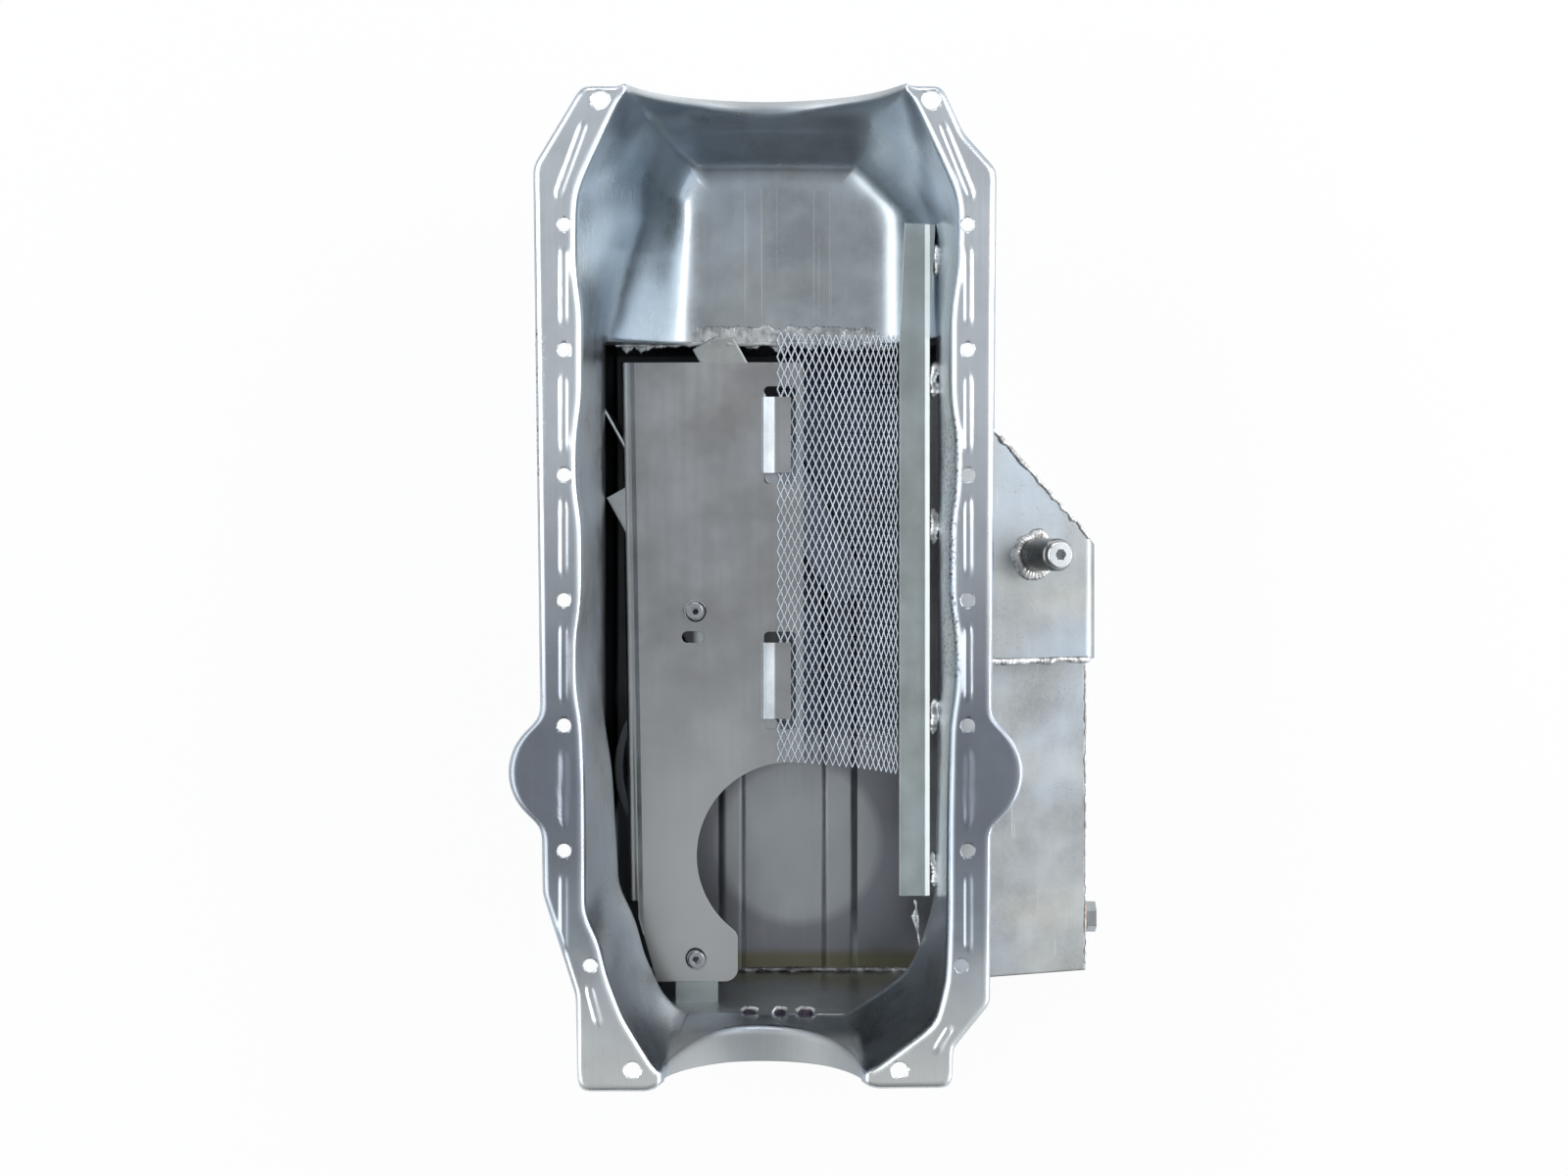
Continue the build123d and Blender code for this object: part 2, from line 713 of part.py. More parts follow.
with BuildPart() as kickout_rear_wall:
    with BuildSketch(Plane.XZ.offset(-kick_rear_y)):
        with BuildLine():
            Polyline(
                (sump_right_x, floor_z), (kick_x, floor_z), (kick_x, wall_top_z), (cap_in_x, wall_top_z),
                (cap_in_x, cut_z + sheet), (sump_right_x, cut_z + sheet), close=True,
            )
        make_face()
    extrude(amount=sheet)
    for neighbour in (under_rear_top(rear_top_drop), pan_outer, sump_wrap.part, sump_rear_wall.part):
        add(neighbour, mode=Mode.SUBTRACT)
save("kickout_rear_wall", kickout_rear_wall.part)

# Bar along the right wall, bent down at its outer edge
bar_right_x = bar_left_x + bar_width
bar_edge = (
    (bar_right_x, bar_rear_y), (bar_right_x, bar_kink_y), (bar_right_x + bar_shift, bar_front_y),
)
with BuildPart() as screen_bar:
    with BuildSketch(Plane.XY.offset(bar_top_z)):
        with BuildLine():
            Polyline(*bar_edge)
            offset(amount=bar_width, side=Side.LEFT)
        make_face()
    extrude(amount=-sheet)
    with BuildSketch(Plane.XY.offset(bar_top_z)):
        with BuildLine():
            Polyline(*bar_edge)
            offset(amount=sheet, side=Side.LEFT)
        make_face()
    extrude(amount=-bar_flange)
save("screen_bar", screen_bar.part)

# Stitch welds between the bar and the wall of the pan
with BuildPart() as bar_stitch_welds:
    for y in stitch_ys:
        edge_x = bar_right_x + bar_shift * max(0, y - bar_kink_y) / (bar_front_y - bar_kink_y)
        with BuildSketch(Plane.XZ.offset(-y)):
            with Locations((edge_x + stitch_r / 2, bar_top_z - sheet)):
                Circle(stitch_r)
            with Locations((edge_x, bar_top_z)):
                Rectangle(4 * stitch_r, 4 * stitch_r, align=(Align.MIN, Align.CENTER), mode=Mode.INTERSECT)
        extrude(amount=stitch_length / 2, both=True)
    add(pan_inner, mode=Mode.INTERSECT)
    add(screen_bar.part, mode=Mode.SUBTRACT)
save("bar_stitch_welds", bar_stitch_welds.part)

# Bracket under the tray's rear lobe, welded to the rear wall
with BuildPart() as tray_rear_bracket:
    with BuildSketch(Plane.XY.offset(tray_z - sheet)):
        with Locations((rear_screw[0], bracket_front_y)):
            Rectangle(bracket_width, bracket_front_y - rear_y(tray_z), align=(Align.CENTER, Align.MAX))
        with Locations(rear_screw):
            Circle(screw_r + hole_clearance, mode=Mode.SUBTRACT)
    extrude(amount=sheet)
    with BuildSketch(Plane.XY.offset(tray_z)):
        with Locations((rear_screw[0], rear_y(tray_z))):
            Rectangle(bracket_width, 2 * sheet)
    extrude(amount=-bracket_drop)
    split(bisect_by=Plane(origin=(0, sump_rear_y, floor_z), z_dir=(0, -1, -lean)), keep=Keep.BOTTOM)
save("tray_rear_bracket", tray_rear_bracket.part)

# Baffles across the sump. In their own plane x runs along the baffle and y across it.
turn = math.radians(baffle_angle)
baffle_plane = Plane(origin=(*baffle_corner, 0), x_dir=(math.cos(turn), math.sin(turn), 0), z_dir=(0, 0, 1))
knuckle_r = door_sheet + sheet / 2 + door_gap
reach = sump_z * -1


def baffle_point(along, across, z):
    """A point of the part from its place along and across the baffles."""
    return baffle_plane.from_local_coords(Vector(along, across, z))


def hinge_plane(along, across):
    """A plane square to a door's pin, with x towards the wall's far side and y up."""
    return Plane(
        origin=baffle_point(along, across + baffle_width - sheet / 2, hinge_z),
        x_dir=baffle_plane.y_dir, z_dir=baffle_plane.x_dir,
    )


def baffle(start, length, across, door_at, wall_start):
    """Angle sheet with a doorway, and a rolled knuckle over the doorway's middle."""
    wall_side = across + baffle_width
    with BuildPart() as wall:
        with BuildSketch(baffle_plane.offset(floor_z)):
            with Locations((wall_start, wall_side)):
                Rectangle(start + length - wall_start, sheet, align=(Align.MIN, Align.MAX))
        extrude(amount=tray_z - floor_z)
        with BuildSketch(baffle_plane.offset(floor_z)):
            with Locations((door_at, wall_side)):
                Rectangle(door_width - 2 * door_lap, 4 * sheet)
        extrude(amount=door_sill + door_height - knuckle_r, mode=Mode.SUBTRACT)
        with BuildSketch(baffle_plane.offset(hinge_z - knuckle_r - door_gap)):
            with Locations((door_at, wall_side)):
                Rectangle(door_width + 2 * door_gap, 4 * sheet)
        extrude(amount=2 * (knuckle_r + door_gap), mode=Mode.SUBTRACT)
        with BuildSketch(baffle_plane.offset(floor_z)):
            with Locations((door_at, wall_side)):
                Rectangle(door_width - 2 * door_lap, sheet * 2, align=(Align.CENTER, Align.MAX))
        extrude(amount=door_sill + door_lap)
        with BuildSketch(baffle_plane.offset(floor_z)):
            with Locations((door_at, wall_side - sheet)):
                Rectangle(2 * door_width, 2 * sheet, align=(Align.CENTER, Align.MAX))
        extrude(amount=door_sill + door_lap, mode=Mode.SUBTRACT)
        with BuildSketch(baffle_plane.offset(hinge_z)):
            with Locations((door_at, wall_side)):
                Rectangle(middle_knuckle, sheet, align=(Align.CENTER, Align.MAX))
        extrude(amount=knuckle_r + 2 * door_gap)
        with BuildSketch(hinge_plane(door_at, across)):
            Circle(knuckle_r)
        extrude(amount=middle_knuckle / 2, both=True)
        with BuildSketch(hinge_plane(door_at, across)):
            Circle(pin_r + pin_clearance / 2)
        extrude(amount=middle_knuckle, both=True, mode=Mode.SUBTRACT)
        with BuildSketch(Plane.XY.offset(floor_z)):
            Rectangle(-sump_left_x, front_cut_y, align=(Align.MAX, Align.MIN))
            Rectangle(-sump_left_x, reach, align=(Align.MAX, Align.MAX))
            Rectangle(kick_x, front_cut_y, align=(Align.MIN, Align.MIN))
            Rectangle(kick_x, reach, align=(Align.MIN, Align.MAX))
        extrude(amount=tray_z - floor_z, mode=Mode.INTERSECT)
        with BuildSketch(baffle_plane.offset(tray_z)):
            with Locations((start, across)):
                Rectangle(length, baffle_width, align=(Align.MIN, Align.MIN))
        extrude(amount=-sheet)
        split(bisect_by=Plane.XZ.offset(-flange_front_y), keep=Keep.TOP)
        with Locations((front_screw[0], front_screw[1], tray_z)):
            Cylinder(screw_r + hole_clearance, 4 * sheet, mode=Mode.SUBTRACT)
        add(sump_wrap.part, mode=Mode.SUBTRACT)
    return wall.part


def trap_door(door_at, across):
    """Door leaf hanging from two rolled knuckles, on the near side of the wall."""
    with BuildPart() as door:
        leaf_far = -sheet / 2 - door_gap
        with BuildSketch(hinge_plane(door_at, across)):
            with Locations((leaf_far, 0)):
                Rectangle(door_sheet, door_height, align=(Align.MAX, Align.MAX))
            Circle(knuckle_r)
        extrude(amount=door_width / 2, both=True)
        with BuildSketch(hinge_plane(door_at, across)):
            Circle(pin_r + pin_clearance)
        extrude(amount=door_width, both=True, mode=Mode.SUBTRACT)
        with BuildSketch(hinge_plane(door_at, across)):
            Rectangle(3 * knuckle_r, 2 * (knuckle_r + door_gap))
        extrude(amount=middle_knuckle / 2 + door_gap, both=True, mode=Mode.SUBTRACT)
    return door.part


def hinge_pin(door_at, across):
    """Pin through the knuckles of a door and its wall."""
    with BuildPart() as pin:
        with BuildSketch(hinge_plane(door_at, across)):
            Circle(pin_r)
        extrude(amount=door_width / 2, both=True)
        chamfer(pin.edges().filter_by(GeomType.CIRCLE), pin_r / 5)
    return pin.part


walls = {}
left_end = (sump_left_x - baffle_corner[0] - baffle_width * baffle_plane.y_dir.X) / baffle_plane.x_dir.X
for end, start, length, across, door_at, wall_start in (
    ("rear", 0, baffle_length, 0, door_at_rear, left_end - baffle_width),
    ("front", baffle_front_start, baffle_length, baffle_spacing, door_at_front, baffle_front_start),
):
    walls[end] = without_offcuts(baffle(start, length, across, door_at, wall_start))
    save("baffle_wall_" + end, walls[end])
    save("trap_door_" + end, trap_door(door_at, across))
    save("hinge_pin_" + end, hinge_pin(door_at, across))

# Windage tray: flat plate with a rolled lip, slots, lanced hook tabs and the pickup well
tray_top = tray_z + sheet
lip_run = Vector(*tray_left_front) - Vector(*tray_left_rear)
lip_plane = Plane(
    origin=(tray_left_rear[0], tray_left_rear[1], tray_z), x_dir=(-lip_run.Y, lip_run.X, 0), z_dir=lip_run
)
tab_under = tray_top + screen_sheet + screen_gap
with BuildPart() as windage_tray:
    with BuildSketch(Plane.XY.offset(tray_z)) as tray_plan:
        with BuildLine():
            Polyline(
                tray_left_front, (tray_right_x, tray_left_front[1]), (tray_right_x, well_y),
                (lobe_right_x, well_y), (lobe_right_x, tray_rear_y), *lobe_left, tray_left_rear, close=True,
            )
        make_face()
        with Locations((well_x, well_y)):
            Circle(well_r, mode=Mode.SUBTRACT)
        lobe_nose = [v for v in tray_plan.vertices() if abs(v.X - lobe_right_x) < 0.01]
        fillet(lobe_nose, lobe_r)
        with Locations(front_screw, (front_screw[0] - 1, front_screw[1] - slot_gap)):
            SlotOverall(slot_length, slot_width, mode=Mode.SUBTRACT)
        with Locations(rear_screw):
            Circle(screw_r + hole_clearance, mode=Mode.SUBTRACT)
        for y in tab_ys:
            with Locations(((tab_left_x + sheet + window_right_x) / 2, y)):
                RectangleRounded(window_right_x - tab_left_x - sheet, window_length, 2 * sheet,
                                 mode=Mode.SUBTRACT)
    extrude(amount=sheet)
    with BuildSketch(lip_plane):
        with Locations((0, sheet - tray_lip_r)):
            Circle(tray_lip_r)
            Circle(tray_lip_r - sheet, mode=Mode.SUBTRACT)
        with Locations((0, sheet - tray_lip_r)):
            Rectangle(tray_lip_r, tray_lip_r, align=(Align.MIN, Align.MIN), mode=Mode.INTERSECT)
        with Locations((tray_lip_r, sheet - tray_lip_r)):
            Rectangle(sheet, tray_lip_drop - tray_lip_r, align=(Align.MAX, Align.MAX))
    extrude(amount=lip_run.length)
    for y in tab_ys:
        with BuildSketch(Plane.XZ.offset(-y)) as tab_profile:
            with Locations((tab_left_x, tray_z)):
                Rectangle(sheet, tab_under + sheet - tray_z, align=(Align.MIN, Align.MIN))
            with Locations((tab_left_x, tab_under)):
                Rectangle(tab_right_x - tab_left_x, sheet, align=(Align.MIN, Align.MIN))
            fillet(tab_profile.vertices().group_by(Axis.Y)[-1].sort_by(Axis.X)[0], 1.3 * sheet)
        extrude(amount=tab_length / 2, both=True)
    add(walls["rear"], mode=Mode.SUBTRACT)
save("windage_tray", windage_tray.part)

# Screen: flat where the tabs hold it, then curved up to the bar; diamond mesh
screen_centre_z = tray_top + screen_r
with BuildPart() as tray_screen:
    with BuildSketch(Plane.XZ.offset(-screen_front_y)):
        with Locations((screen_left_x, tray_top)):
            Rectangle(tab_right_x - screen_left_x, screen_sheet, align=(Align.MIN, Align.MIN))
        with BuildLine():
            bottom = CenterArc((tab_right_x, screen_centre_z), screen_r, -90, screen_turn)
            top = CenterArc((tab_right_x, screen_centre_z), screen_r - screen_sheet, -90, screen_turn)
            Line(bottom @ 0, top @ 0)
            Line(bottom @ 1, top @ 1)
        make_face()
    extrude(amount=screen_front_y - screen_rear_y)
    column_step = screen_turn / (diamond_columns + 0.5)
    row_step = (screen_front_y - screen_rear_y) / (diamond_rows + 0.5)
    middle_y = (screen_front_y + screen_rear_y) / 2
    for half_step in range(1, 2 * diamond_columns):
        angle = math.radians(column_step * (half_step / 2 + 0.25))
        rows = diamond_rows - (half_step + 1) % 2
        place = Plane(
            origin=(
                tab_right_x + screen_r * math.sin(angle), middle_y,
                screen_centre_z - screen_r * math.cos(angle),
            ),
            x_dir=(math.cos(angle), 0, math.sin(angle)), z_dir=(-math.sin(angle), 0, math.cos(angle)),
        )
        half_width = math.radians(column_step) * screen_r / 2 - strand
        half_length = row_step / 2 - strand
        with BuildSketch(place):
            with GridLocations(0, row_step, 1, rows):
                Polygon((half_width, 0), (0, half_length), (-half_width, 0), (0, -half_length))
        extrude(amount=2 * screen_sheet, both=True, mode=Mode.SUBTRACT)
save("tray_screen", tray_screen.part)

# Curved baffle beside the pickup well, with a narrow flange turned inwards
with BuildPart() as curved_baffle:
    start = math.radians(curved_baffle_from)
    arc_plane = Plane(
        origin=(*curved_baffle_centre, 0), x_dir=(math.cos(start), math.sin(start), 0),
        z_dir=(math.sin(start), -math.cos(start), 0),
    )
    with BuildSketch(arc_plane):
        with Locations((curved_baffle_r, floor_z)):
            Rectangle(sheet, curved_baffle_top_z - floor_z, align=(Align.MAX, Align.MIN))
        with Locations((curved_baffle_r, curved_baffle_top_z)):
            Rectangle(curved_baffle_flange, sheet, align=(Align.MAX, Align.MAX))
    revolve(axis=Axis((*curved_baffle_centre, 0), (0, 0, 1)), revolution_arc=curved_baffle_sweep)
save("curved_baffle", curved_baffle.part)

# Two screws with washers and weld nuts hold the tray down
screw_seats = (
    (front_screw, tray_z - sheet), (rear_screw, tray_z - sheet),
)
with BuildPart() as tray_washers:
    for (x, y), under in screw_seats:
        with BuildSketch(Plane.XY.offset(tray_top)):
            with Locations((x, y)):
                Circle(washer_r)
                Circle(screw_r + hole_clearance, mode=Mode.SUBTRACT)
        extrude(amount=washer_t)
save("tray_washers", tray_washers.part)

with BuildPart() as tray_nuts:
    for (x, y), under in screw_seats:
        with BuildSketch(Plane.XY.offset(under)):
            with Locations((x, y)):
                RegularPolygon(nut_af / 2, 6, major_radius=False)
                Circle(screw_r + thread_clearance, mode=Mode.SUBTRACT)
        extrude(amount=-nut_h)
save("tray_nuts", tray_nuts.part)

with BuildPart() as tray_screws:
    head_z = tray_top + washer_t
    for (x, y), under in screw_seats:
        with BuildSketch(Plane.XY.offset(head_z)):
            with Locations((x, y)):
                Circle(screw_head_r)
        extrude(amount=screw_head_h)
        with BuildSketch(Plane.XY.offset(head_z)):
            with Locations((x, y)):
                Circle(screw_r)
        extrude(amount=under - nut_h - sheet - head_z)
    fillet(tray_screws.edges().group_by(Axis.Z)[-1], screw_head_h / 3)
    for (x, y), under in screw_seats:
        with BuildSketch(Plane.XY.offset(head_z + screw_head_h)):
            with Locations((x, y)):
                RegularPolygon(socket_af / 2, 6, major_radius=False)
        extrude(amount=-screw_head_h * 0.6, mode=Mode.SUBTRACT)
save("tray_screws", tray_screws.part)

# Threaded boss on the cap, and its socket plug
with BuildPart() as cap_boss:
    with BuildSketch(boss_plane):
        Circle(boss_r)
        Circle(boss_bore_r, mode=Mode.SUBTRACT)
    extrude(amount=boss_length)
    chamfer(cap_boss.edges().filter_by(GeomType.CIRCLE).sort_by(Axis.Z)[-2:], 0.8)
save("cap_boss", cap_boss.part)

with BuildPart() as cap_boss_plug:
    boss_top = boss_plane.offset(boss_length)
    with BuildSketch(boss_top):
        Circle(plug_flange_r)
    extrude(amount=plug_flange_h)
    chamfer(cap_boss_plug.edges().filter_by(GeomType.CIRCLE).sort_by(Axis.Z)[-1], 0.6)
    with BuildSketch(boss_top):
        Circle(boss_bore_r - thread_clearance)
    extrude(amount=-plug_length)
    with BuildSketch(boss_top.offset(plug_flange_h)):
        RegularPolygon(1.5 * socket_af / 2, 6, major_radius=False)
    extrude(amount=-plug_length / 2, mode=Mode.SUBTRACT)
save("cap_boss_plug", cap_boss_plug.part)

# Drain: bung welded in the outer wall, copper washer and hex plug
drain_plane = Plane(origin=(kick_out_x, drain_y, drain_z), x_dir=(0, 1, 0), z_dir=(1, 0, 0))
with BuildPart() as drain_bung:
    with BuildSketch(drain_plane):
        Circle(drain_bung_r)
    extrude(amount=drain_bung_out)
    chamfer(drain_bung.edges().filter_by(GeomType.CIRCLE).sort_by(Axis.X)[-1], 1.0)
    with BuildSketch(drain_plane):
        Circle(drain_spigot_r)
    extrude(amount=-2 * sheet)
    with BuildSketch(drain_plane.offset(-4 * sheet)):
        Circle(drain_bore_r)
    extrude(amount=8 * sheet + drain_bung_out, mode=Mode.SUBTRACT)
save("drain_bung", drain_bung.part)

with BuildPart() as drain_washer:
    with BuildSketch(drain_plane.offset(drain_bung_out)):
        Circle(drain_washer_r)
        Circle(drain_bore_r, mode=Mode.SUBTRACT)
    extrude(amount=drain_washer_t)
save("drain_washer", drain_washer.part)

with BuildPart() as drain_plug:
    head_plane = drain_plane.offset(drain_bung_out + drain_washer_t)
    with BuildSketch(head_plane):
        RegularPolygon(drain_head_af / 2, 6, major_radius=False)
    extrude(amount=drain_head_h)
    with BuildSketch(head_plane):
        Circle(drain_bore_r - thread_clearance)
    extrude(amount=-(drain_bung_out + drain_washer_t + 3 * sheet))
save("drain_plug", drain_plug.part)
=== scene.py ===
"""Engine oil pan seen from straight above: materials, weld seams, fine screen, light and camera.

Lengths are in millimetres until they go into a mesh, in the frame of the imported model:
the rail's gasket face is z = 0, +Y is the front of the engine and +X the kick-out side.
"""
import bpy
import bmesh
import math
import numpy as np
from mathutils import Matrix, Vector
from mathutils.bvhtree import BVHTree


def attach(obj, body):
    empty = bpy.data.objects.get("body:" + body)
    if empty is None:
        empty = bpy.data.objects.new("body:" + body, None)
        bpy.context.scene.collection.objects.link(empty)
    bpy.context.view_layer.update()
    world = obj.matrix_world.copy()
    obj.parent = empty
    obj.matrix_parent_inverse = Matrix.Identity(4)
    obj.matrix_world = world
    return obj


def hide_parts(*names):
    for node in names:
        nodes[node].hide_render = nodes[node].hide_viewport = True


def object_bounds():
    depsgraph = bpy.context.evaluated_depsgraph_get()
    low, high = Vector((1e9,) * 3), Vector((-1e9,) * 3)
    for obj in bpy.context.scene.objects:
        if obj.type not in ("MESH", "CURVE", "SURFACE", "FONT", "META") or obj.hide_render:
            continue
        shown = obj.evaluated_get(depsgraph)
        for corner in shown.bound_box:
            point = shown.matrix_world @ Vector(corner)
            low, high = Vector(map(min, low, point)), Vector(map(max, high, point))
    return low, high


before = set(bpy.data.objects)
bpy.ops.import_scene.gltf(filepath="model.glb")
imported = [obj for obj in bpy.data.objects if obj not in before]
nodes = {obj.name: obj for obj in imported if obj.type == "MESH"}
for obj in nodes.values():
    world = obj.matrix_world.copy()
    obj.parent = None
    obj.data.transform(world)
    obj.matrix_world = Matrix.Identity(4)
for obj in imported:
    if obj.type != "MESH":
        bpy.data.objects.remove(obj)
cad_box = [list(corner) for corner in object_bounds()]
rng = np.random.default_rng(8)
MM = 0.001

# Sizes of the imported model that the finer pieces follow
SHEET = 1.5
CUT_Z = -78.0                               # cut edge of the stamped pan
FRONT_FLOOR_Z = -112.0
SUMP_FLOOR_Z = -198.5
SIDE_BOLT_X = 113.3
BOLT_PITCH = 70.3
RAIL_BEAD_X = 113.6
ARC_FRONT = (-1.0, 23.0, 83.0, 255.3)       # centre X, centre Z, radius, Y of the lip's edge
ARC_REAR = (-2.0, 0.0, 57.5, -305.7)
TAB_YS = (62.5, -86.0)
SCREEN_LEFT_X = 6.2
SCREEN_BEND_X = 14.5                        # where the screen starts to curve up
SCREEN_R = 75.0
SCREEN_Z = -108.4
SCREEN_RUN = 83.4                           # width of the screen, measured along its sheet
CAP_EDGE_X = 193.0
CAP_EDGE_Z = -63.0
CAP_SLOPE = 19.0                            # degrees
DRAIN_Y = -238
DRAIN_Z = -172


def quads(table):
    """Four-sided faces between neighbouring rows and columns of a table of point numbers."""
    return np.stack([table[:-1, :-1], table[:-1, 1:], table[1:, 1:], table[1:, :-1]], -1).reshape(-1, 4)


def numbered(rows, columns, first=0):
    """A table of point numbers that run along each row in turn."""
    return first + np.arange(rows * columns).reshape(rows, columns)


def tube_quads(rings, sides, first=0):
    """Faces of a tube: each ring's last point is joined to its first."""
    table = numbered(rings, sides, first)
    return quads(np.concatenate([table, table[:, :1]], 1))


def carried(x, y, z):
    """Points of a profile in X and Z carried along Y; z is one row for all of y, or a row for each."""
    shape = (len(y), len(x))
    parts = [np.broadcast_to(x, shape), np.broadcast_to(y[:, None], shape), np.broadcast_to(z, shape)]
    return np.stack(parts, -1).reshape(-1, 3)


def mesh_object(name, points, faces, material, smooth=True):
    """An object that rides on the pan, from points in millimetres and faces of equal length."""
    mesh = bpy.data.meshes.new(name)
    mesh.from_pydata((np.asarray(points, float) * MM).tolist(), [], np.asarray(faces, int).tolist())
    mesh.validate()
    mesh.polygons.foreach_set("use_smooth", [smooth] * len(mesh.polygons))
    mesh.materials.append(material)
    mesh.update()
    piece = bpy.data.objects.new(name, mesh)
    bpy.context.scene.collection.objects.link(piece)
    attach(piece, "pan")
    return piece


# Materials

class Nodes:
    """Short calls that add shader nodes to one material or world."""

    def __init__(self, tree):
        self.tree = tree
        self.tree.nodes.clear()

    def add(self, kind, settings=None, **sockets):
        """A node; sockets are given by name, as a constant or as another node's output."""
        node = self.tree.nodes.new(kind)
        for key, value in (settings or {}).items():
            setattr(node, key, value)
        for key, value in sockets.items():
            self.join(node, key.replace("_", " "), value)
        return node

    def join(self, node, key, value):
        """Sets one input by name or number, by a link where the value is an output."""
        socket = node.inputs[int(key)] if key.isdigit() else node.inputs[key]
        if isinstance(value, bpy.types.NodeSocket):
            self.tree.links.new(value, socket)
        else:
            socket.default_value = value

    def math(self, operation, first, second):
        """A math node's output."""
        node = self.tree.nodes.new("ShaderNodeMath")
        node.operation = operation
        self.join(node, "0", first)
        self.join(node, "1", second)
        return node.outputs[0]

    def noise(self, vector, scale, detail, rough):
        """A noise texture's grey value."""
        node = self.add("ShaderNodeTexNoise", Vector=vector, Scale=scale, Detail=detail, Roughness=rough)
        return node.outputs["Fac"]

    def stretched(self, vector, scale, turn=0.0):
        """Coordinates scaled apart along X, Y and Z, after a turn about Z in degrees."""
        node = self.add("ShaderNodeMapping", Vector=vector, Scale=scale)
        node.inputs["Rotation"].default_value = (0.0, 0.0, math.radians(turn))
        return node.outputs[0]

    def ramp(self, value, low, high, out_low=0.0, out_high=1.0):
        """A value taken from one range to another and held at both ends."""
        node = self.add("ShaderNodeMapRange", Value=value)
        for key, number in (("From Min", low), ("From Max", high), ("To Min", out_low), ("To Max", out_high)):
            node.inputs[key].default_value = number
        return node.outputs[0]

    def box(self, place, low, high, soft):
        """Mask of a box between two corners in millimetres. None leaves an axis open.

        Its sides are soft by one length, or by one for each axis."""
        parts = self.add("ShaderNodeSeparateXYZ", Vector=place).outputs
        if not isinstance(soft, tuple):
            soft = (soft, soft, soft)
        mask = 1.0
        for axis in range(3):
            if low[axis] is None:
                continue
            rise = self.ramp(parts[axis], (low[axis] - soft[axis]) * MM, (low[axis] + soft[axis]) * MM)
            fall = self.ramp(parts[axis], (high[axis] + soft[axis]) * MM, (high[axis] - soft[axis]) * MM)
            mask = self.math("MULTIPLY", mask, self.math("MULTIPLY", rise, fall))
        return mask

    def oval(self, place, low, high, soft):
        """Mask of the ellipsoid that fills the box between two corners, its edge fading by a share."""
        middle = tuple((a + b) / 2 * MM for a, b in zip(low, high))
        half = tuple((b - a) / 2 * MM for a, b in zip(low, high))
        off = self.add("ShaderNodeVectorMath", {"operation": "SUBTRACT"})
        self.join(off, "0", place)
        self.join(off, "1", middle)
        scaled = self.add("ShaderNodeVectorMath", {"operation": "DIVIDE"})
        self.join(scaled, "0", off.outputs[0])
        self.join(scaled, "1", half)
        size = self.add("ShaderNodeVectorMath", {"operation": "LENGTH"})
        self.join(size, "0", scaled.outputs[0])
        return self.ramp(size.outputs["Value"], 1.0 + soft, 1.0 - soft)

    def mix(self, factor, first, second):
        """A mix of two colours."""
        node = self.tree.nodes.new("ShaderNodeMix")
        node.data_type = "RGBA"
        for number, value in ((0, factor), (6, first), (7, second)):
            if isinstance(value, tuple):
                value = value + (1.0,)
            self.join(node, str(number), value)
        return node.outputs[2]

    def mix_shaders(self, factor, first, second):
        """A mix of two shaders."""
        node = self.tree.nodes.new("ShaderNodeMixShader")
        for number, value in enumerate((factor, first, second)):
            self.join(node, str(number), value)
        return node.outputs[0]


def scratch_mask(n, place, amount):
    """Mask of hair-thin scratches along Y and across, each kind only where a cloud of its own is dense."""
    lines = n.noise(n.stretched(place, (1300.0, 9.0, 1300.0)), 1.0, 1.0, 0.4)
    gaps = n.noise(place, 34.0, 2.0, 0.5)
    lengthwise = n.math("MULTIPLY", n.ramp(lines, 0.735, 0.76), n.ramp(gaps, 0.52, 0.60, 0.0, amount))
    cross_lines = n.noise(n.stretched(place, (1100.0, 13.0, 1100.0), 57.0), 1.0, 1.0, 0.4)
    cross_gaps = n.noise(place, 21.0, 2.0, 0.5)
    cross = n.math("MULTIPLY", n.ramp(cross_lines, 0.745, 0.765),
                   n.ramp(cross_gaps, 0.55, 0.62, 0.0, amount * 0.8))
    return n.math("MAXIMUM", lengthwise, cross)


def patched(n, place, patches, colour, gloss):
    """The colour and roughness with each patch laid over them in turn."""
    for shape, low, high, soft, shade, amount in patches:
        mask = n.oval(place, low, high, soft) if shape == "oval" else n.box(place, low, high, soft)
        if shape == "rust":
            mask = n.math("MULTIPLY", mask, n.ramp(n.noise(place, 520.0, 3.0, 0.6), 0.54, 0.60))
        if shape in ("rust", "dull"):
            gloss = n.math("ADD", gloss, n.math("MULTIPLY", mask, 0.35))
        colour = n.mix(n.math("MULTIPLY", mask, amount), colour, shade)
    return colour, gloss


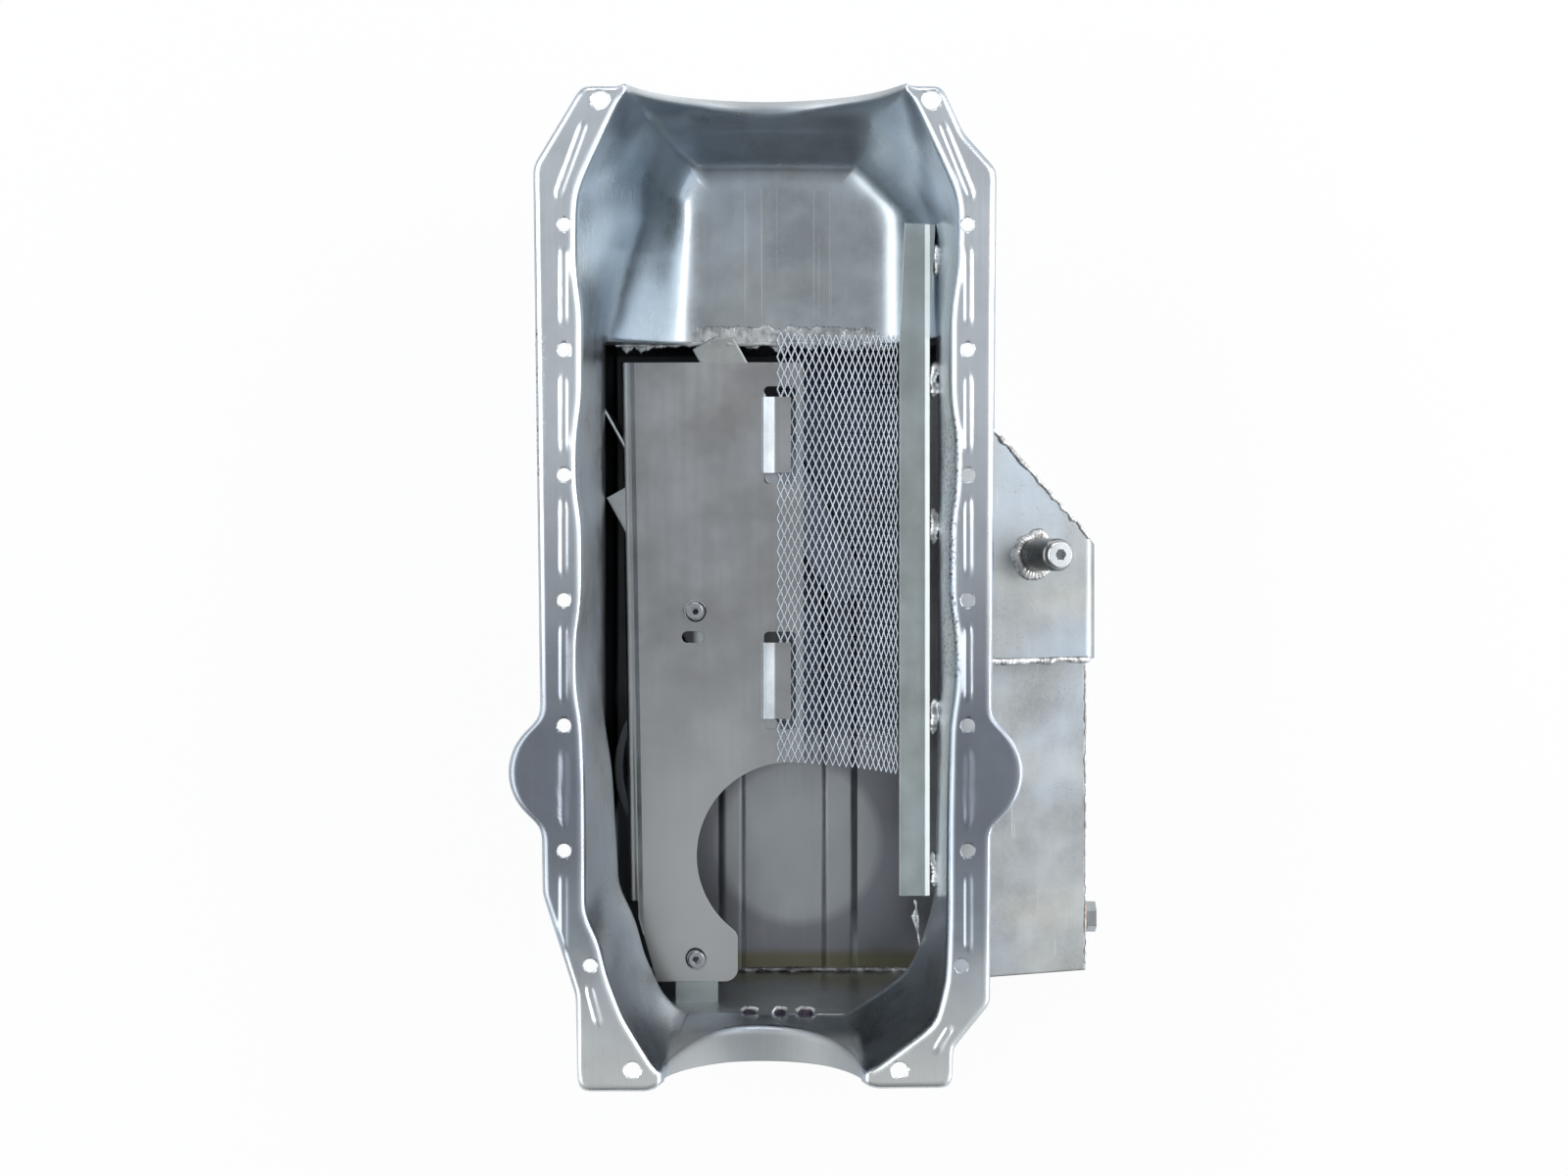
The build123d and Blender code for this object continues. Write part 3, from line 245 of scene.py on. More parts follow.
def zinc(name, tone, tint, rough, grain, mottle, dents, scratches, specks=0.0, bevel=0.0, patches=(),
         slopes=()):
    """Zinc on rolled steel: brushed grain, cloudy spangle, faint blue and straw tints and thin scratches.

    Each patch is a place with its own colour, used both for real marks and for painted light and shade:
    (shape, low corner, high corner, soft edge, colour, amount).
    The shape is box or oval, or rust, which is a box that holds only fine specks, or dull, a rougher box.
    Each slope tilts the face between two X: (from, to, rise in millimetres, shift of X per length of Y)."""
    mat = bpy.data.materials.new(name)
    mat.use_nodes = True
    n = Nodes(mat.node_tree)
    place = n.add("ShaderNodeTexCoord").outputs["Object"]
    cloud = n.noise(place, 26.0, 3.0, 0.6)
    spangle = n.noise(place, 420.0, 2.0, 0.6)
    streak = n.noise(n.stretched(place, (1700.0, 9.0, 1700.0)), 1.0, 3.0, 0.7)
    wide_streak = n.noise(n.stretched(place, (190.0, 7.0, 190.0)), 1.0, 2.0, 0.5)
    dark = tuple(c * 0.80 for c in tone)
    light = tuple(min(1.0, c * 1.12) for c in tone)
    colour = n.mix(n.ramp(cloud, 0.35, 0.68), dark, light)
    colour = n.mix(n.math("MULTIPLY", n.ramp(wide_streak, 0.38, 0.66), 0.45 * grain), colour, dark)
    colour = n.mix(n.math("MULTIPLY", n.ramp(spangle, 0.42, 0.62), 0.30 * mottle), colour, light)
    blue = n.ramp(n.noise(place, 13.0, 2.0, 0.5), 0.48, 0.72, 0.0, tint)
    colour = n.mix(blue, colour, (0.42, 0.56, 0.78))
    stains = n.noise(n.stretched(place, (9.0, 17.0, 11.0), 30.0), 1.0, 2.0, 0.5)
    straw = n.ramp(stains, 0.56, 0.76, 0.0, tint * 0.6)
    colour = n.mix(straw, colour, (0.78, 0.70, 0.50))
    scratch = scratch_mask(n, place, scratches)
    colour = n.mix(scratch, colour, (0.86, 0.87, 0.86))
    gloss = n.math("ADD", n.ramp(cloud, 0.3, 0.7, rough * 0.86, rough * 1.18),
                   n.ramp(streak, 0.3, 0.7, -0.04, 0.04))
    if specks:
        grit = n.noise(place, 620.0, 2.0, 0.5)
        zone = n.noise(place, 19.0, 3.0, 0.6)
        spot = n.math("MULTIPLY", n.ramp(grit, 0.66, 0.70), n.ramp(zone, 0.50, 0.60, 0.0, specks))
        colour = n.mix(spot, colour, (0.10, 0.075, 0.06))
        gloss = n.math("ADD", gloss, n.math("MULTIPLY", spot, 0.3))
    colour, gloss = patched(n, place, patches, colour, gloss)
    height = n.math("ADD", n.math("MULTIPLY", streak, 0.006 * grain),
                    n.math("MULTIPLY", spangle, 0.014 * mottle))
    height = n.math("ADD", height, n.math("MULTIPLY", n.noise(place, 16.0, 2.0, 0.45), 0.9 * dents))
    height = n.math("SUBTRACT", height, n.math("MULTIPLY", scratch, 0.02))
    for start, end, rise, skew in slopes:
        parts = n.add("ShaderNodeSeparateXYZ", Vector=place).outputs
        across = n.math("ADD", parts[0], n.math("MULTIPLY", parts[1], skew))
        height = n.math("ADD", height, n.ramp(across, start * MM, end * MM, 0.0, rise))
    bump = n.add("ShaderNodeBump", Strength=0.8, Distance=MM, Height=height)
    if bevel:
        soft = n.add("ShaderNodeBevel", {"samples": 8}, Radius=bevel * MM)
        n.join(bump, "Normal", soft.outputs[0])
    shader = n.add("ShaderNodeBsdfPrincipled", Roughness=gloss, Metallic=1.0, Normal=bump.outputs[0])
    n.join(shader, "Base Color", colour)
    n.join(shader, "Anisotropic", 0.35 * grain)
    n.add("ShaderNodeOutputMaterial", Surface=shader.outputs[0])
    return mat


def weld_metal(name, dull, bright):
    """Weld bead: bright metal with clouds of soot and small black pits."""
    mat = bpy.data.materials.new(name)
    mat.use_nodes = True
    n = Nodes(mat.node_tree)
    place = n.add("ShaderNodeTexCoord").outputs["Object"]
    fine = n.noise(place, 900.0, 3.0, 0.6)
    soot = n.noise(place, 160.0, 3.0, 0.6)
    colour = n.mix(n.ramp(soot, 0.40, 0.62), dull, bright)
    colour = n.mix(n.ramp(fine, 0.64, 0.70, 0.0, 0.7), colour, (0.12, 0.10, 0.09))
    bump = n.add("ShaderNodeBump", Strength=0.7, Distance=0.35 * MM, Height=fine)
    shader = n.add("ShaderNodeBsdfPrincipled", Metallic=0.95, Normal=bump.outputs[0],
                   Roughness=n.ramp(soot, 0.3, 0.7, 0.50, 0.26))
    n.join(shader, "Base Color", colour)
    n.add("ShaderNodeOutputMaterial", Surface=shader.outputs[0])
    return mat


RUST = (0.11, 0.07, 0.045)
pan_patches = [
    # Rust at the rail's left outer edge and right inner edge
    ("rust", (-134, 35, None), (-124.5, 118, None), 1.5, RUST, 1.0),
    ("rust", (102, -80, None), (109, 68, None), 1.5, RUST, 0.85),
    # Painted shade: a dark blue-grey patch on the front left facet; and the heated edge beside the front seam
    ("oval", (-104, 168, -104), (-60, 232, -40), 0.28, (0.30, 0.37, 0.43), 0.55),
    ("box", (-60, 112, None), (90, 123, None), 3.0, (0.62, 0.63, 0.64), 0.5),
    # The rail's top: painted shade behind the middle, a painted highlight growing ahead, and painted
    # highlights at the rear corners
    ("box", (None, -215, -1.0), (None, 400, 2.0), (1, 50, 0.6), (0.26, 0.28, 0.33), 0.85),
    ("box", (None, -15, -1.0), (None, 400, 2.0), (1, 90, 0.6), (0.90, 0.95, 1.0), 0.9),
    ("box", (None, -400, -1.6), (None, -262, 2.0), (1, 38, 0.6), (0.97, 0.98, 0.97), 1.0),
    # Matt lips of the two seal arcs; the rear one's darker colour is painted shade
    ("dull", (-56, -312, -62), (54, -288, -4), 2.0, (0.46, 0.47, 0.47), 0.85),
    ("dull", (-78, 252, -64), (78, 256, -4), 1.5, (0.62, 0.61, 0.59), 0.6),
    # Painted shade on the front right facet
    ("oval", (62, 168, -104), (106, 232, -40), 0.28, (0.30, 0.35, 0.40), 0.6),
]
INSIDE = (0.4, 0.4, 0.4)                    # edges that end within a sheet's thickness
sump_patches = [
    # Painted shade inside: under the tray, on the front wall and under the screen
    ("box", (-98.7, -277.7, -199.2), (-48, 117.8, -112), INSIDE, (0.10, 0.105, 0.115), 1.0),
    ("box", (-98.7, 90, -199.2), (103.2, 117.8, -112), INSIDE, (0.10, 0.105, 0.115), 1.0),
    ("box", (14, -128, -199.2), (90, 110, -107.5), (9.0, 9.0, 0.4), (0.10, 0.125, 0.19), 0.85),
    # Painted shadow on the well's floor, with a painted pool of light where light falls through the round
    # opening above
    ("box", (-48, -277.7, -199.2), (101, -135, -190), (7.0, 0.4, 0.4), (0.33, 0.33, 0.38), 0.75),
    ("oval", (-32, -246, -240), (72, -142, -157), 0.07, (0.66, 0.69, 0.71), 0.75),
    # Painted shade on the baffle's flange where it shows through the tray's slot
    ("box", (-60, -70, -112), (-43, -50, -107.5), (2.0, 1.0, 0.4), (0.08, 0.08, 0.09), 1.0),
    # Straw-coloured heat along the floor's rear seam
    ("box", (-30, -276, -199.2), (101, -264, -190), (3.0, 3.0, 0.4), (0.27, 0.24, 0.10), 0.7),
]
# Painted light: the tray's rear end, from its left side to just right of the middle, is lighter
tray_painted_light = [("box", (-120, -330, None), (30, -120, None), 70.0, (0.74, 0.74, 0.735), 0.9)]
bar_patches = [
    # Painted highlight along the right rim, and a darker patch near the front
    ("box", (93.8, -220, None), (100, 118, None), 0.3, (0.90, 0.91, 0.91), 0.6),
    ("oval", (80, 60, -90), (96, 200, -60), 0.7, (0.45, 0.50, 0.52), 0.35),
]

pan_zinc = zinc("pan_zinc", (0.57, 0.62, 0.66), 0.30, 0.30, grain=0.5, mottle=0.4, dents=0.7,
                scratches=0.35, specks=0.25, patches=pan_patches)
sump_zinc = zinc("sump_zinc", (0.60, 0.62, 0.62), 0.22, 0.36, grain=0.45, mottle=0.9, dents=0.5,
                 scratches=0.5, specks=0.35, bevel=2.6, patches=sump_patches)
tray_steel = zinc("tray_steel", (0.545, 0.545, 0.55), 0.10, 0.34, grain=0.9, mottle=0.15, dents=0.35,
                  scratches=0.18, bevel=0.5, slopes=[(-81.2, -78.4, -4.6, 0.0166)], patches=tray_painted_light)
bar_steel = zinc("bar_steel", (0.62, 0.68, 0.67), 0.14, 0.36, grain=0.6, mottle=0.3, dents=0.2,
                 scratches=0.3, bevel=0.5, slopes=[(93.4, 96.4, 1.25, 0.0)], patches=bar_patches)
# Painted highlight: a much lighter copy of the tray's steel, for the tabs' bright bends
tab_lit_steel = zinc("tab_lit_steel", (0.90, 0.91, 0.92), 0.05, 0.20, grain=0.4, mottle=0.1, dents=0.0,
                 scratches=0.1, slopes=[(-3.6, 4.6, 5.0, 0.0)])
mesh_steel = zinc("mesh_steel", (0.68, 0.72, 0.77), 0.10, 0.25, grain=0.2, mottle=0.3, dents=0.0,
                  scratches=0.0)
bright_steel = zinc("bright_steel", (0.66, 0.68, 0.70), 0.12, 0.24, grain=0.2, mottle=0.3, dents=0.0,
                    scratches=0.2, bevel=0.4)
turned_steel = zinc("turned_steel", (0.58, 0.59, 0.58), 0.12, 0.28, grain=0.3, mottle=0.6, dents=0.0,
                    scratches=0.2, specks=0.2, bevel=0.4)
copper = zinc("copper", (0.60, 0.30, 0.19), 0.0, 0.36, grain=0.3, mottle=0.5, dents=0.1, scratches=0.2,
              bevel=0.3)
# Painted shade: the cap's zinc is darker than the sump's, to hold down its highlights
cap_shaded_zinc = zinc("cap_shaded_zinc", (0.37, 0.39, 0.40), 0.25, 0.40, grain=0.6, mottle=0.9, dents=0.5,
                scratches=0.6, specks=0.4, bevel=2.0)
boss_steel = zinc("boss_steel", (0.27, 0.27, 0.265), 0.0, 0.30, grain=0.1, mottle=0.2, dents=0.0,
                  scratches=0.1, bevel=0.4)
# Painted shade: a darker copy of the sump's zinc on the kick-out's rear top
rear_top_shaded_zinc = zinc("rear_top_shaded_zinc", (0.33, 0.345, 0.355), 0.22, 0.38, grain=0.45, mottle=0.9, dents=0.5,
                     scratches=0.5, specks=0.35, bevel=2.0)
scratch_steel = zinc("scratch_steel", (0.98, 0.99, 0.99), 0.0, 0.42, grain=0.0, mottle=0.1, dents=0.0,
                     scratches=0.0)
weld = weld_metal("weld_metal", (0.36, 0.35, 0.34), (0.76, 0.77, 0.77))
stitch_weld = weld_metal("stitch_weld", (0.30, 0.30, 0.30), (0.97, 0.97, 0.97))
seam_weld = weld_metal("seam_weld", (0.46, 0.47, 0.48), (0.84, 0.86, 0.87))
# Black for scorched burn-through spots, and for painted shade in the screw sockets and washer gaps
scorch_and_shade = weld_metal("scorch_and_shade", (0.03, 0.03, 0.035), (0.10, 0.08, 0.11))

# Every node that isn't named here has the sump's zinc
node_materials = {
    "pan_body": pan_zinc, "screen_bar": bar_steel, "windage_tray": tray_steel,
    "tray_rear_bracket": bar_steel, "hinge_pin_front": bright_steel, "hinge_pin_rear": bright_steel,
    "tray_washers": bright_steel, "tray_nuts": bright_steel, "tray_screws": bright_steel,
    "cap_boss": boss_steel, "kickout_rear_top": rear_top_shaded_zinc, "kickout_cap": cap_shaded_zinc,
    "cap_boss_plug": bright_steel, "drain_bung": turned_steel, "drain_washer": copper,
    "drain_plug": bright_steel, "tray_screen": mesh_steel, "bar_stitch_welds": weld,
}
for node_name, node in nodes.items():
    node.data.materials.clear()
    node.data.materials.append(node_materials.get(node_name, sump_zinc))


# Stamped pan: one smooth sheet over the CAD's flat-sided form

WALL_HEIGHTS = np.arange(-4.2, CUT_Z + 0.1, -2.46)      # of the level rays
BOWL_TURNS = np.radians(np.linspace(0, 90, 61))         # of the rays below the cut, down from level
LONGEST_RAY = 150
WALL_ROWS = 24
BOWL_ROWS = 34


def along(corners, step):
    """Points at about equal steps on straight runs between corners, without the last corner."""
    runs = []
    for start, end in zip(corners, corners[1:]):
        count = max(int(round(math.dist(start, end) / step)), 1)
        part = np.arange(count)[:, None] / count
        runs.append(np.array(start) * (1 - part) + np.array(end) * part)
    return np.concatenate(runs)


def arc_aims(arc, y, x_from, x_to, step=2.3):
    """Aims along a seal arc at equal turns, so that its steep ends get as many as its middle.

    The last one is left to the corner that follows."""
    x, radius = arc[0], arc[2]
    start, end = math.asin((x_from - x) / radius), math.asin((x_to - x) / radius)
    turns = np.linspace(start, end, int(abs(end - start) * radius / step) + 1)
    return np.stack([x + radius * np.sin(turns), np.full(len(turns), y)], -1)[:-1]


def shell_columns():
    """Where each column of the sheet looks from and to, anticlockwise from the right side at the front cut.

    Side columns look straight out from the middle line. Corner and end columns fan out from its two ends.
    The fourth value is the direction the rail runs out in: square to each side and end, turning evenly
    through the corners. The last one marks the columns ahead of the front cut."""
    side_step, front_corner_step, rear_corner_step = 2.65, 1.7, 1.5
    flip = np.array([-1.0, 1.0])
    right_front = along([(107.0, 117.0), (107.0, 170.0)], side_step)
    right_front_corner = along([(107.0, 170.0), (107.6, 192.0), (79.2, 253.6)], front_corner_step)
    front = arc_aims(ARC_FRONT, 253.6, 79.2, -79.2)
    left_front_corner = along([(-79.2, 253.6), (-107.6, 192.0), (-107.0, 170.0)], front_corner_step)
    left_front = along([(-107.0, 170.0), (-107.0, 117.0)], side_step)
    left = along([(-103.0, 117.0), (-103.0, -200.0)], side_step)
    left_rear_corner = along([(-103.0, -200.0), (-102.1, -213.0), (-94.0, -228.0), (-89.5, -248.0),
                              (-81.0, -270.0), (-61.7, -301.2), (-59.5, -301.2)], rear_corner_step)
    rear = arc_aims(ARC_REAR, -301.2, -59.49, 55.49)
    right_rear_corner = along([(55.5, -301.2), (60.6, -300.0), (77.8, -287.0), (95.0, -274.5),
                               (100.8, -250.0), (101.7, -214.0), (103.0, -200.0)], rear_corner_step)
    right = left[::-1] * flip
    in_front_parts = [right_front, right_front_corner, front, left_front_corner, left_front]
    parts = in_front_parts + [left, left_rear_corner, rear, right_rear_corner, right]
    quarters = [(0, 0), (0, 90), (90, 90), (90, 180), (180, 180), (180, 180), (180, 270), (270, 270),
                (270, 360), (360, 360)]
    turns = [np.linspace(a, b, len(part), endpoint=False) for part, (a, b) in zip(parts, quarters)]
    aims = np.concatenate(parts)
    middle_x, rear_y, front_y = 5.0, -200.0, 170.0
    origins = np.stack([np.full(len(aims), middle_x), np.clip(aims[:, 1], rear_y, front_y)], -1)
    looks = aims - origins
    looks /= np.linalg.norm(looks, axis=1)[:, None]
    turn = np.radians(np.concatenate(turns))
    in_front = np.arange(len(aims)) <= sum(len(part) for part in in_front_parts)
    return origins, aims, looks, np.stack([np.cos(turn), np.sin(turn)], -1), in_front


def blurred(table, width, axis, closed):
    """Gaussian average along one axis, running on round the loop or mirrored at ends that stay put."""
    reach = int(3 * width) + 1
    weights = np.exp(-0.5 * (np.arange(-reach, reach + 1) / width) ** 2)
    weights /= weights.sum()
    padding = [(reach, reach) if k == axis else (0, 0) for k in range(table.ndim)]
    if closed:
        wide = np.pad(table, padding, mode="wrap")
    else:
        wide = np.pad(table, padding, mode="reflect", reflect_type="odd")
    return np.apply_along_axis(lambda line: np.convolve(line, weights, mode="valid"), axis, wide)


def filled(table):
    """Each column's missing distances, on a line between the hits at both sides, held past the last."""
    for column in table:
        hits = np.flatnonzero(~np.isnan(column))
        column[:] = np.interp(np.arange(len(column)), hits, column[hits])
    return table


def steadied(table):
    """Each distance replaced by the middle one of five neighbours round the loop, to drop stray hits."""
    return np.median([np.roll(table, shift, axis=0) for shift in (-2, -1, 0, 1, 2)], axis=0)


def ray_reach(node_name):
    """A function that gives the length of a ray up to a CAD node, or nan where it misses."""
    data = nodes[node_name].data
    corners = [vertex.co / MM for vertex in data.vertices]
    tree = BVHTree.FromPolygons(corners, [tuple(face.vertices) for face in data.polygons])

    def reach(origin, direction):
        length = tree.ray_cast(Vector(origin), Vector(direction))[3]
        return np.nan if length is None else length

    return reach


def seal_arcs(points, outward):
    """For each seal arc: the columns that end on it, its height at the given points, and its lip's Y."""
    for x, z, radius, lip in (ARC_FRONT, ARC_REAR):
        at_end = outward[:, 1] * np.sign(lip) > 0.999
        yield at_end, z - np.sqrt(np.maximum(radius ** 2 - (points[:, 0] - x) ** 2, 0)), lip


def wall_tables(reach, origins, aims, looks, outward, in_front):
    """Distances from the middle line to the CAD pan's inner face, one row for each column of the sheet.

    The first table has level rays at every height above the cut. The second has the front columns only, with
    rays from level at the cut to straight down. Each distance is the Gaussian average of its neighbours,
    which rounds the form's corners as pressing does."""
    level = np.array([[reach((x, y, z), (u, v, 0)) for z in WALL_HEIGHTS]
                      for (x, y), (u, v) in zip(origins, looks)])
    level = np.where(level > LONGEST_RAY, np.nan, level)
    # Above a seal arc there is no wall, only the rail's ends
    for at_end, arc_z, lip in seal_arcs(aims, outward):
        level[at_end[:, None] & (WALL_HEIGHTS[None] > arc_z[:, None] - 1.5)] = np.nan
    level = steadied(filled(level))
    bowl = np.array([[reach((x, y, CUT_Z + 0.1), (u * math.cos(a), v * math.cos(a), -math.sin(a)))
                      for a in BOWL_TURNS] for (x, y), (u, v) in zip(origins[in_front], looks[in_front])])
    bowl = steadied(filled(np.where(bowl > LONGEST_RAY, np.nan, bowl)))
    joined = np.concatenate([level[in_front], bowl[:, 1:]], 1)
    level = blurred(blurred(level, 3.2, 0, True), 2.0, 1, False)
    joined = blurred(joined, 4.0, 0, False)
    # Averaging inverse distances over the angles keeps flat floors flat
    width = 3.4
    turn_step = 1.5                         # degrees between two rays
    flat = math.exp(-0.5 * math.radians(width * turn_step) ** 2) / blurred(1 / joined, width, 1, False)
    shared = len(WALL_HEIGHTS)
    below = np.clip((np.arange(joined.shape[1]) - shared) / 8.0, 0, 1)
    joined = blurred(joined, width, 1, False) * (1 - below) + flat * below
    # Beside the front cut the two tables run into each other
    far = np.clip((np.arange(in_front.sum()) + 1) / 7.0, 0, 1)
    far = np.minimum(far, far[::-1])[:, None]
    joined[:, :shared] = level[in_front] * (1 - far) + joined[:, :shared] * far
    level[in_front] = joined[:, :shared]
    return level, joined[:, shared - 1:]


def rail_section(reach, mouth, outward):
    """The rail's section at each column: its top's height, bend, roll, the lip's drop, and its width.

    Beside a seal arc the top is the gasket face. Along the arc it follows the arc down, and the roll and the
    drop shrink with its depth."""
    top = np.zeros(len(mouth))
    full = np.ones(len(mouth))
    for at_end, arc_z, lip in seal_arcs(mouth, outward):
        top = np.where(at_end, np.minimum(arc_z, 0), top)
        full = np.where(at_end, np.clip(1 + top / 9.0, 0, 1), full)
    bend = np.full(len(mouth), 5.2)
    roll = 0.5 + 3.4 * full
    drop = 0.7 + 4.3 * full
    # The width is measured by a ray that comes in from outside
    away = 70
    width = np.array([away - reach((x + away * u, y + away * v, -3.7), (-u, -v, 0))
                      for (x, y), (u, v) in zip(mouth, outward)])
    for at_end, arc_z, lip in seal_arcs(mouth, outward):
        on_rail = np.clip(1 + top / 4.0, 0, 1)
        to_lip = np.abs(lip - mouth[:, 1])
        measured = np.where((width > 0) & (width < 20), width, to_lip)
        width = np.where(at_end, measured * on_rail + to_lip * (1 - on_rail), width)
    width = blurred(filled(width[None].copy())[0], 1.0, 0, True)
    # Where the rail is narrow its bend and roll share what there is
    fit = np.clip(0.85 * width / (bend + roll), 0.05, 1)
    bend, roll = bend * fit, roll * fit
    return top, bend, roll, np.maximum(drop, roll + 0.4), width


def bead_rise(x, y):
    """Rise of the rail's beads at a place: one millimetre along a bead, with smooth steps at its sides."""
    width, reach, slope = 4.5, 2.6, 1.3     # a bead's width, how far its sides reach and how wide they are
    rise = np.zeros_like(x)
    # Each bead's middle X and Y, direction in degrees and length
    beads = [(side * RAIL_BEAD_X, BOLT_PITCH * k, 90.0, 41.0)
             for side in (-1, 1) for k in (2, 1, 0, -1, -2, -3)]
    beads += [(-109.5, 212.0, 70.0, 44.0), (107.5, 211.5, 112.0, 44.0),
              (-96.5, -263.0, 105.0, 22.0), (99.5, -281.5, 58.0, 16.0)]
    for middle_x, middle_y, turn, length in beads:
        c, s = math.cos(math.radians(turn)), math.sin(math.radians(turn))
        lengthwise = (x - middle_x) * c + (y - middle_y) * s
        beyond = np.maximum(np.abs(lengthwise) - (length - width) / 2, 0)
        away = np.hypot(beyond, (y - middle_y) * c - (x - middle_x) * s)
        share = np.clip((reach - away) / slope, 0, 1)
        rise = np.maximum(rise, share * share * (3 - 2 * share))
    return rise


def rail_rows(foot, outward, top, bend, roll, drop, edge):
    """Rows of points up the lip, over the rolled edge, across the flat and down the bend to the wall's foot.

    Roll and bend are quarter circles; the flat lies at the top's height, with the beads raised on it."""
    rows = [(edge, -roll - part * (drop - roll)) for part in (1.0, 0.5)]
    rows += [(edge - roll * (1 - np.sin(turn)), -roll * (1 - np.cos(turn)))
             for turn in np.radians((90, 60, 30, 0))]
    rows += [((edge - roll) * (1 - part) + bend * part, np.zeros(len(edge)))
             for part in np.linspace(0, 1, 20)[1:-1]]
    rows += [(bend * (1 - np.cos(turn)), -bend * (1 - np.sin(turn))) for turn in np.radians((90, 67, 45, 22))]
    points = np.stack([np.concatenate([foot + outward * out[:, None], (top + up)[:, None]], 1)
                       for out, up in rows], 1)
    points[..., 2] += bead_rise(points[..., 0], points[..., 1]) * (points[..., 2] > -0.5)
    return points


def bowl_sections(origins, looks, bowl):
    """Each front column below the cut, at equal lengths of its section, down to the middle line."""
    sections = []
    for origin, look, line in zip(origins, looks, bowl):
        across, down = line * np.cos(BOWL_TURNS), line * np.sin(BOWL_TURNS)
        travel = np.concatenate([[0], np.cumsum(np.hypot(np.diff(across), np.diff(down)))])
        marks = np.linspace(0, travel[-1], BOWL_ROWS + 1)[1:]
        across, down = np.interp(marks, travel, across), np.interp(marks, travel, down)
        sections.append(np.column_stack([origin + look * across[:, None], CUT_Z - down]))
    return np.array(sections)


def pan_sheet():
    """The stamped sheet as one grid: rail edge, flat rail, bend, wall and, in front, floor.

    Each column is a section: the rail's rows outside the wall, the wall from its bend down to the cut at
    the measured distances, and in front the bowl's section. The sheet's thickness lies behind this face."""
    reach = ray_reach("pan_body")
    origins, aims, looks, outward, in_front = shell_columns()
    level, bowl = wall_tables(reach, origins, aims, looks, outward, in_front)
    mouth = origins + looks * level[:, :1]
    top, bend, roll, drop, width = rail_section(reach, mouth, outward)

    # Wall rows at equal parts of the height between the bend and the cut
    start = top - bend
    wall_z = start[:, None] + (CUT_Z - start)[:, None] * np.linspace(0, 1, WALL_ROWS)
    wall_r = np.stack([np.interp(-z, -WALL_HEIGHTS, line) for z, line in zip(wall_z, level)])
    wall = np.concatenate([origins[:, None] + looks[:, None] * wall_r[..., None], wall_z[..., None]], -1)
    foot = wall[:, 0, :2]
    edge = width + ((mouth - foot) * outward).sum(1)
    grid = np.concatenate([rail_rows(foot, outward, top, bend, roll, drop, edge), wall], 1)

    # Wall and bowl are averaged along each column where they meet, so that no crease shows there
    columns = np.flatnonzero(in_front)
    sections = np.concatenate([wall[columns], bowl_sections(origins[columns], looks[columns], bowl)], 1)
    near = np.clip(1.6 - np.abs(np.arange(sections.shape[1]) - WALL_ROWS) / 10.0, 0, 1)[None, :, None]
    sections = blurred(sections, 2.2, 1, False) * near + sections * (1 - near)
    grid[columns, -WALL_ROWS:] = sections[:, :WALL_ROWS]

    table = numbered(*grid.shape[:2])
    bowl_table = np.concatenate([table[columns, -1:], numbered(len(columns), BOWL_ROWS, table.size)], 1)
    points = np.concatenate([grid.reshape(-1, 3), sections[:, WALL_ROWS:].reshape(-1, 3)])
    return points, np.concatenate([quads(np.concatenate([table, table[:1]])), quads(bowl_table)])


def bolt_cutter():
    """Upright cylinders at the bolt holes, each closed by a disc at both ends."""
    side_r, front_r, rear_r = 3.95, 5.25, 4.75
    holes = [(side * SIDE_BOLT_X, BOLT_PITCH * (k - 2.5), side_r) for side in (-1, 1) for k in range(6)]
    holes += [(-93.0, 245.5, front_r), (93.0, 245.5, front_r), (-98.7, -240.3, side_r),
              (109.7, -240.3, side_r), (-75.0, -299.0, rear_r), (75.0, -299.0, rear_r)]
    sides = 32
    turn = np.linspace(0, 2 * math.pi, sides, endpoint=False)
    ring = np.stack([np.cos(turn), np.sin(turn)], -1)
    points = []
    faces = []
    for number, (x, y, radius) in enumerate(holes):
        for z in (-8.0, 4.0):
            points.append(np.column_stack([np.array((x, y)) + radius * ring, np.full(sides, z)]))
        first = number * 2 * sides
        second = first + sides
        faces += tube_quads(2, sides, first).tolist()
        faces += [list(range(first, second))[::-1], list(range(second, second + sides))]
    mesh = bpy.data.meshes.new("bolt_holes")
    mesh.from_pydata((np.concatenate(points) * MM).tolist(), [], faces)
    cutter = bpy.data.objects.new("bolt_holes", mesh)
    bpy.context.scene.collection.objects.link(cutter)
    return cutter


